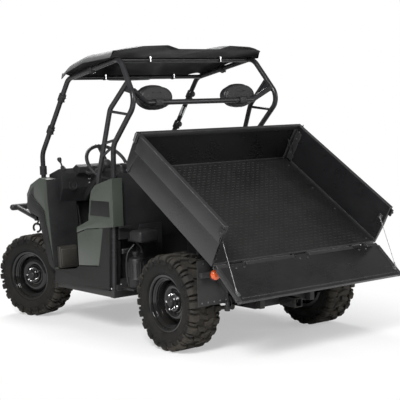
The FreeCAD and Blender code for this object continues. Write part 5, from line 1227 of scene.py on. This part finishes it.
def make_side_bands():
    """The dark band across each upper side panel, and the small hooks under the nose."""
    band, hook = bmesh.new(), bmesh.new()
    for side in SIDES:
        panel(band, BAND, BAND_PLANE, BAND_PLANE + 3, 1.2, side=side)
        ring = [(1432 + 33 * math.cos(angle), side * (400 + 16 * math.cos(angle)), 664 + 36 * math.sin(angle))
                for angle in (math.tau * step / 24 for step in range(-3, 19))]
        wire(hook, ring, 9, 12)
        bar(hook, (1432, side * 400, 690), (1405, side * 400, 724), 8, 12, 1)
    piece("side_bands", band, CLADDING, "olive_plastic")
    piece("nose_hooks", hook, FRAME_PAINT)


make_cab_linings()
make_side_bands()
make_rocker_returns()
make_splash_panels()
make_engine_room()


# Roof bars' clips, pillar knobs, lamps and small fittings.


def make_roof_fittings():
    """Clips and cap screws that hold the roof to its bars, and knobs on the right front pillar."""
    clips, screws = bmesh.new(), bmesh.new()
    for x, z in ((-209, 2001), (396, 1898)):
        for y in (-330, 330):
            lathe(clips, [(15, -9), (19.5, -9), (20.5, -7), (20.5, 7), (19.5, 9), (15, 9)],
                  facing((x, y, z), (0, 1, 0)), 28)
            block(clips, (x - 24, y - 9, z + 8), (x - 15, y + 9, z + 26), 2)
            block(screws, (x - 27, y - 5, z - 15), (x - 21, y + 5, z + 15), 2)
            bolt(screws, (x - 24, y, z + 17), (-1, 0, 0), 5.5, 5)
    front, low = flip(FRONT_TOP, -1), flip(PILLAR_LOW, -1)
    for share in (0.24, 0.67):
        spot = front.lerp(low, share)
        knob = [(0, 0), (9, 0), (9, 14), (20, 18), (25, 26), (26, 36), (22, 44), (12, 48), (0, 49)]
        lathe(clips, knob, facing(spot + Vector((-22, 4, 0)), (-0.9, 0.3, 0.1)), 28)
    lathe(screws, [(18.5, 0), (21, 0), (21, 4), (20.4, 6), (20.4, 84), (21, 86), (21, 90), (18.5, 90)],
          facing(front.lerp(low, 0.40), low - front), 32)
    piece("roof_clips", clips, BLACK_PLASTIC)
    piece("roof_screws", screws, BRIGHT_STEEL, smooth_angle=20)


def make_lamps():
    """Rear lamps with ringed lenses, the rear plates' bolts, and headlamps with bright fronts."""
    lens, seat, screws = bmesh.new(), bmesh.new(), bmesh.new()
    back = (-1, 0, 0)
    for side in SIDES:
        stand = facing((-1290.4, side * 640, 557), back)
        lathe(lens, [(0, 0), (36, 0), (36, 16), (34, 18), (36, 20), (35.5, 24), (30, 30), (28, 32),
                     (24, 35.5), (14, 38), (0, 38.6)], stand)
        lathe(seat, [(30, 0), (40, 0), (41, 3), (40, 7), (36.5, 8), (36.5, 2), (30, 2)], stand, 40)
        for y in (520, 570, 620, 670, 720):
            bolt(screws, (-1256, side * y, 372), back, 3.5, 3)
        for y in (520, 700):
            bolt(screws, (-1256, side * y, 630), back, 4.5, 4)
    piece("tail_lenses", lens, RED_LENS, hides=["tail_lamps"], smooth_angle=40)
    piece("tail_lamp_seats", seat, BLACK_PLASTIC)
    piece("rear_plate_bolts", screws, DULL_BRIGHT, smooth_angle=20)
    item = moulded("headlamp_shells", BLACK_PLASTIC, "headlamps", 4, 3)
    item.data.materials.append(LAMP_GLASS)
    for polygon in item.data.polygons:
        if polygon.normal.x > 0.4:
            polygon.material_index = 1


def make_plug():
    """The trailer socket's plug on its short lead, hanging beside the left rear plate."""
    bm, tie = bmesh.new(), bmesh.new()
    lead = [(-1262, 590, 500), (-1276, 560, 452), (-1282, 536, 410), (-1280, 524, 384), (-1276, 522, 360)]
    wire(bm, smooth_path(lead), 4.5, 10)
    lathe(bm, [(0, 0), (9, 0), (14, 8), (14, 30), (19, 34), (19, 60), (17, 64), (0, 64)],
          facing((-1276, 522, 362), (0.05, 0.06, -1)), 28)
    loop = [(-1276, 505, 388), (-1280, 494, 352), (-1278, 500, 318), (-1274, 516, 300), (-1270, 536, 306)]
    wire(tie, smooth_path(loop, 6), 2.2, 8)
    piece("trailer_plug", bm, BLACK_PLASTIC, smooth_angle=40)
    piece("plug_tether", tie, FRAME_PAINT, "bright_steel", smooth_angle=60)


make_roof_fittings()
make_lamps()
make_plug()


# Floor, light and camera, in metres.

SKY_LIGHT, FLOOR_HALF = 0.28, 60.0
FLOOR_TONE = (0.82, 0.82, 0.82, 1.0)
FADE_SHAPE, FADE_NEAR, FADE_FAR, FADE_LEAST = (0.42, 0.62, 1.0), 0.6, 1.25, 0.42
WHITE = (1.0, 1.0, 1.0, 1.0)
LAMPS = (("key", (-4.5, 5.5, 5.5), (-0.2, 0.0, 0.8), (2.8, 2.8), 820),
         ("fill", (-6.5, -3.5, 3.0), (-0.2, 0.0, 0.9), (3.5, 2.5), 190),
         ("back", (4.0, -1.0, 5.0), (0.0, 0.0, 1.2), (3.5, 2.0), 320))


def seen_directly(graph):
    """One where the camera looks straight or through glass, zero for light that bounces."""
    paths = graph.add("LightPath").outputs
    return graph.maths("MAXIMUM", paths["Is Camera Ray"], paths["Is Transmission Ray"])


def make_floor():
    """A pale floor that takes the soft shadow and fades to white away from the vehicle."""
    bm = bmesh.new()
    bmesh.ops.create_grid(bm, x_segments=1, y_segments=1, size=FLOOR_HALF)
    floor = linked("floor", mesh_of("floor", bm))
    material = bpy.data.materials.new("pale_floor")
    graph = fresh_graph(material)
    centred = graph.add("Mapping", {"Vector": graph.place(), "Scale": FADE_SHAPE}).outputs["Vector"]
    away = graph.add("VectorMath", {0: centred}, operation="LENGTH").outputs["Value"]
    reach = {"Value": away, "From Min": FADE_NEAR, "From Max": FADE_FAR, "To Min": FADE_LEAST}
    fade = graph.add("MapRange", reach, interpolation_type="SMOOTHSTEP").outputs["Result"]
    share = graph.maths("MULTIPLY", fade, seen_directly(graph))
    matt = graph.add("BsdfDiffuse", {"Color": FLOOR_TONE})
    white = graph.add("Emission", {"Color": WHITE, "Strength": 1.0})
    blend = graph.add("MixShader", {0: share, 1: matt.outputs[0], 2: white.outputs[0]})
    graph.add("OutputMaterial", {"Surface": blend.outputs[0]})
    floor.data.materials.append(material)


def make_sky():
    """White behind the vehicle, and a plain even light from all round."""
    world = bpy.data.worlds.new("studio")
    bpy.context.scene.world = world
    graph = fresh_graph(world)
    even, white = (graph.add("Background", {"Color": WHITE, "Strength": power}).outputs[0]
                   for power in (SKY_LIGHT, 1.0))
    blend = graph.add("MixShader", {0: seen_directly(graph), 1: even, 2: white})
    graph.add("OutputWorld", {"Surface": blend.outputs[0]})


def make_lamp(name, place, aim, size, power):
    """A soft oblong lamp that looks at a point."""
    light = bpy.data.lights.new(name, "AREA")
    light.shape = "RECTANGLE"
    light.size, light.size_y = size
    light.energy = power
    turn = (Vector(aim) - Vector(place)).to_track_quat("-Z", "Y")
    linked(name, light).matrix_world = Matrix.Translation(place) @ turn.to_matrix().to_4x4()


CAMERA_PLACE = (-6.8505, 5.045, 1.633)
CAMERA_YAW, CAMERA_PITCH, CAMERA_ROLL = (math.radians(angle) for angle in (-37.78, -4.74, -1.94))
CAMERA_LENS, CAMERA_SENSOR, CAMERA_REACH = 99.13, 36.0, 200.0


def make_camera():
    """The photograph's viewpoint."""
    level = math.cos(CAMERA_PITCH)
    ahead = Vector((math.cos(CAMERA_YAW) * level, math.sin(CAMERA_YAW) * level, math.sin(CAMERA_PITCH)))
    across = ahead.cross(Vector((0, 0, 1))).normalized()
    upward = across.cross(ahead)
    right = across * math.cos(CAMERA_ROLL) + upward * math.sin(CAMERA_ROLL)
    top = upward * math.cos(CAMERA_ROLL) - across * math.sin(CAMERA_ROLL)
    data = bpy.data.cameras.new("photo_camera")
    data.lens = CAMERA_LENS
    data.sensor_width = CAMERA_SENSOR
    data.clip_end = CAMERA_REACH
    camera = linked("photo_camera", data)
    turn = Matrix((right, top, -ahead)).transposed()
    camera.matrix_world = Matrix.Translation(CAMERA_PLACE) @ turn.to_4x4()
    bpy.context.scene.camera = camera


make_floor()
make_sky()
for lamp in LAMPS:
    make_lamp(*lamp)
make_camera()
bpy.context.scene.view_settings.view_transform = "Standard"
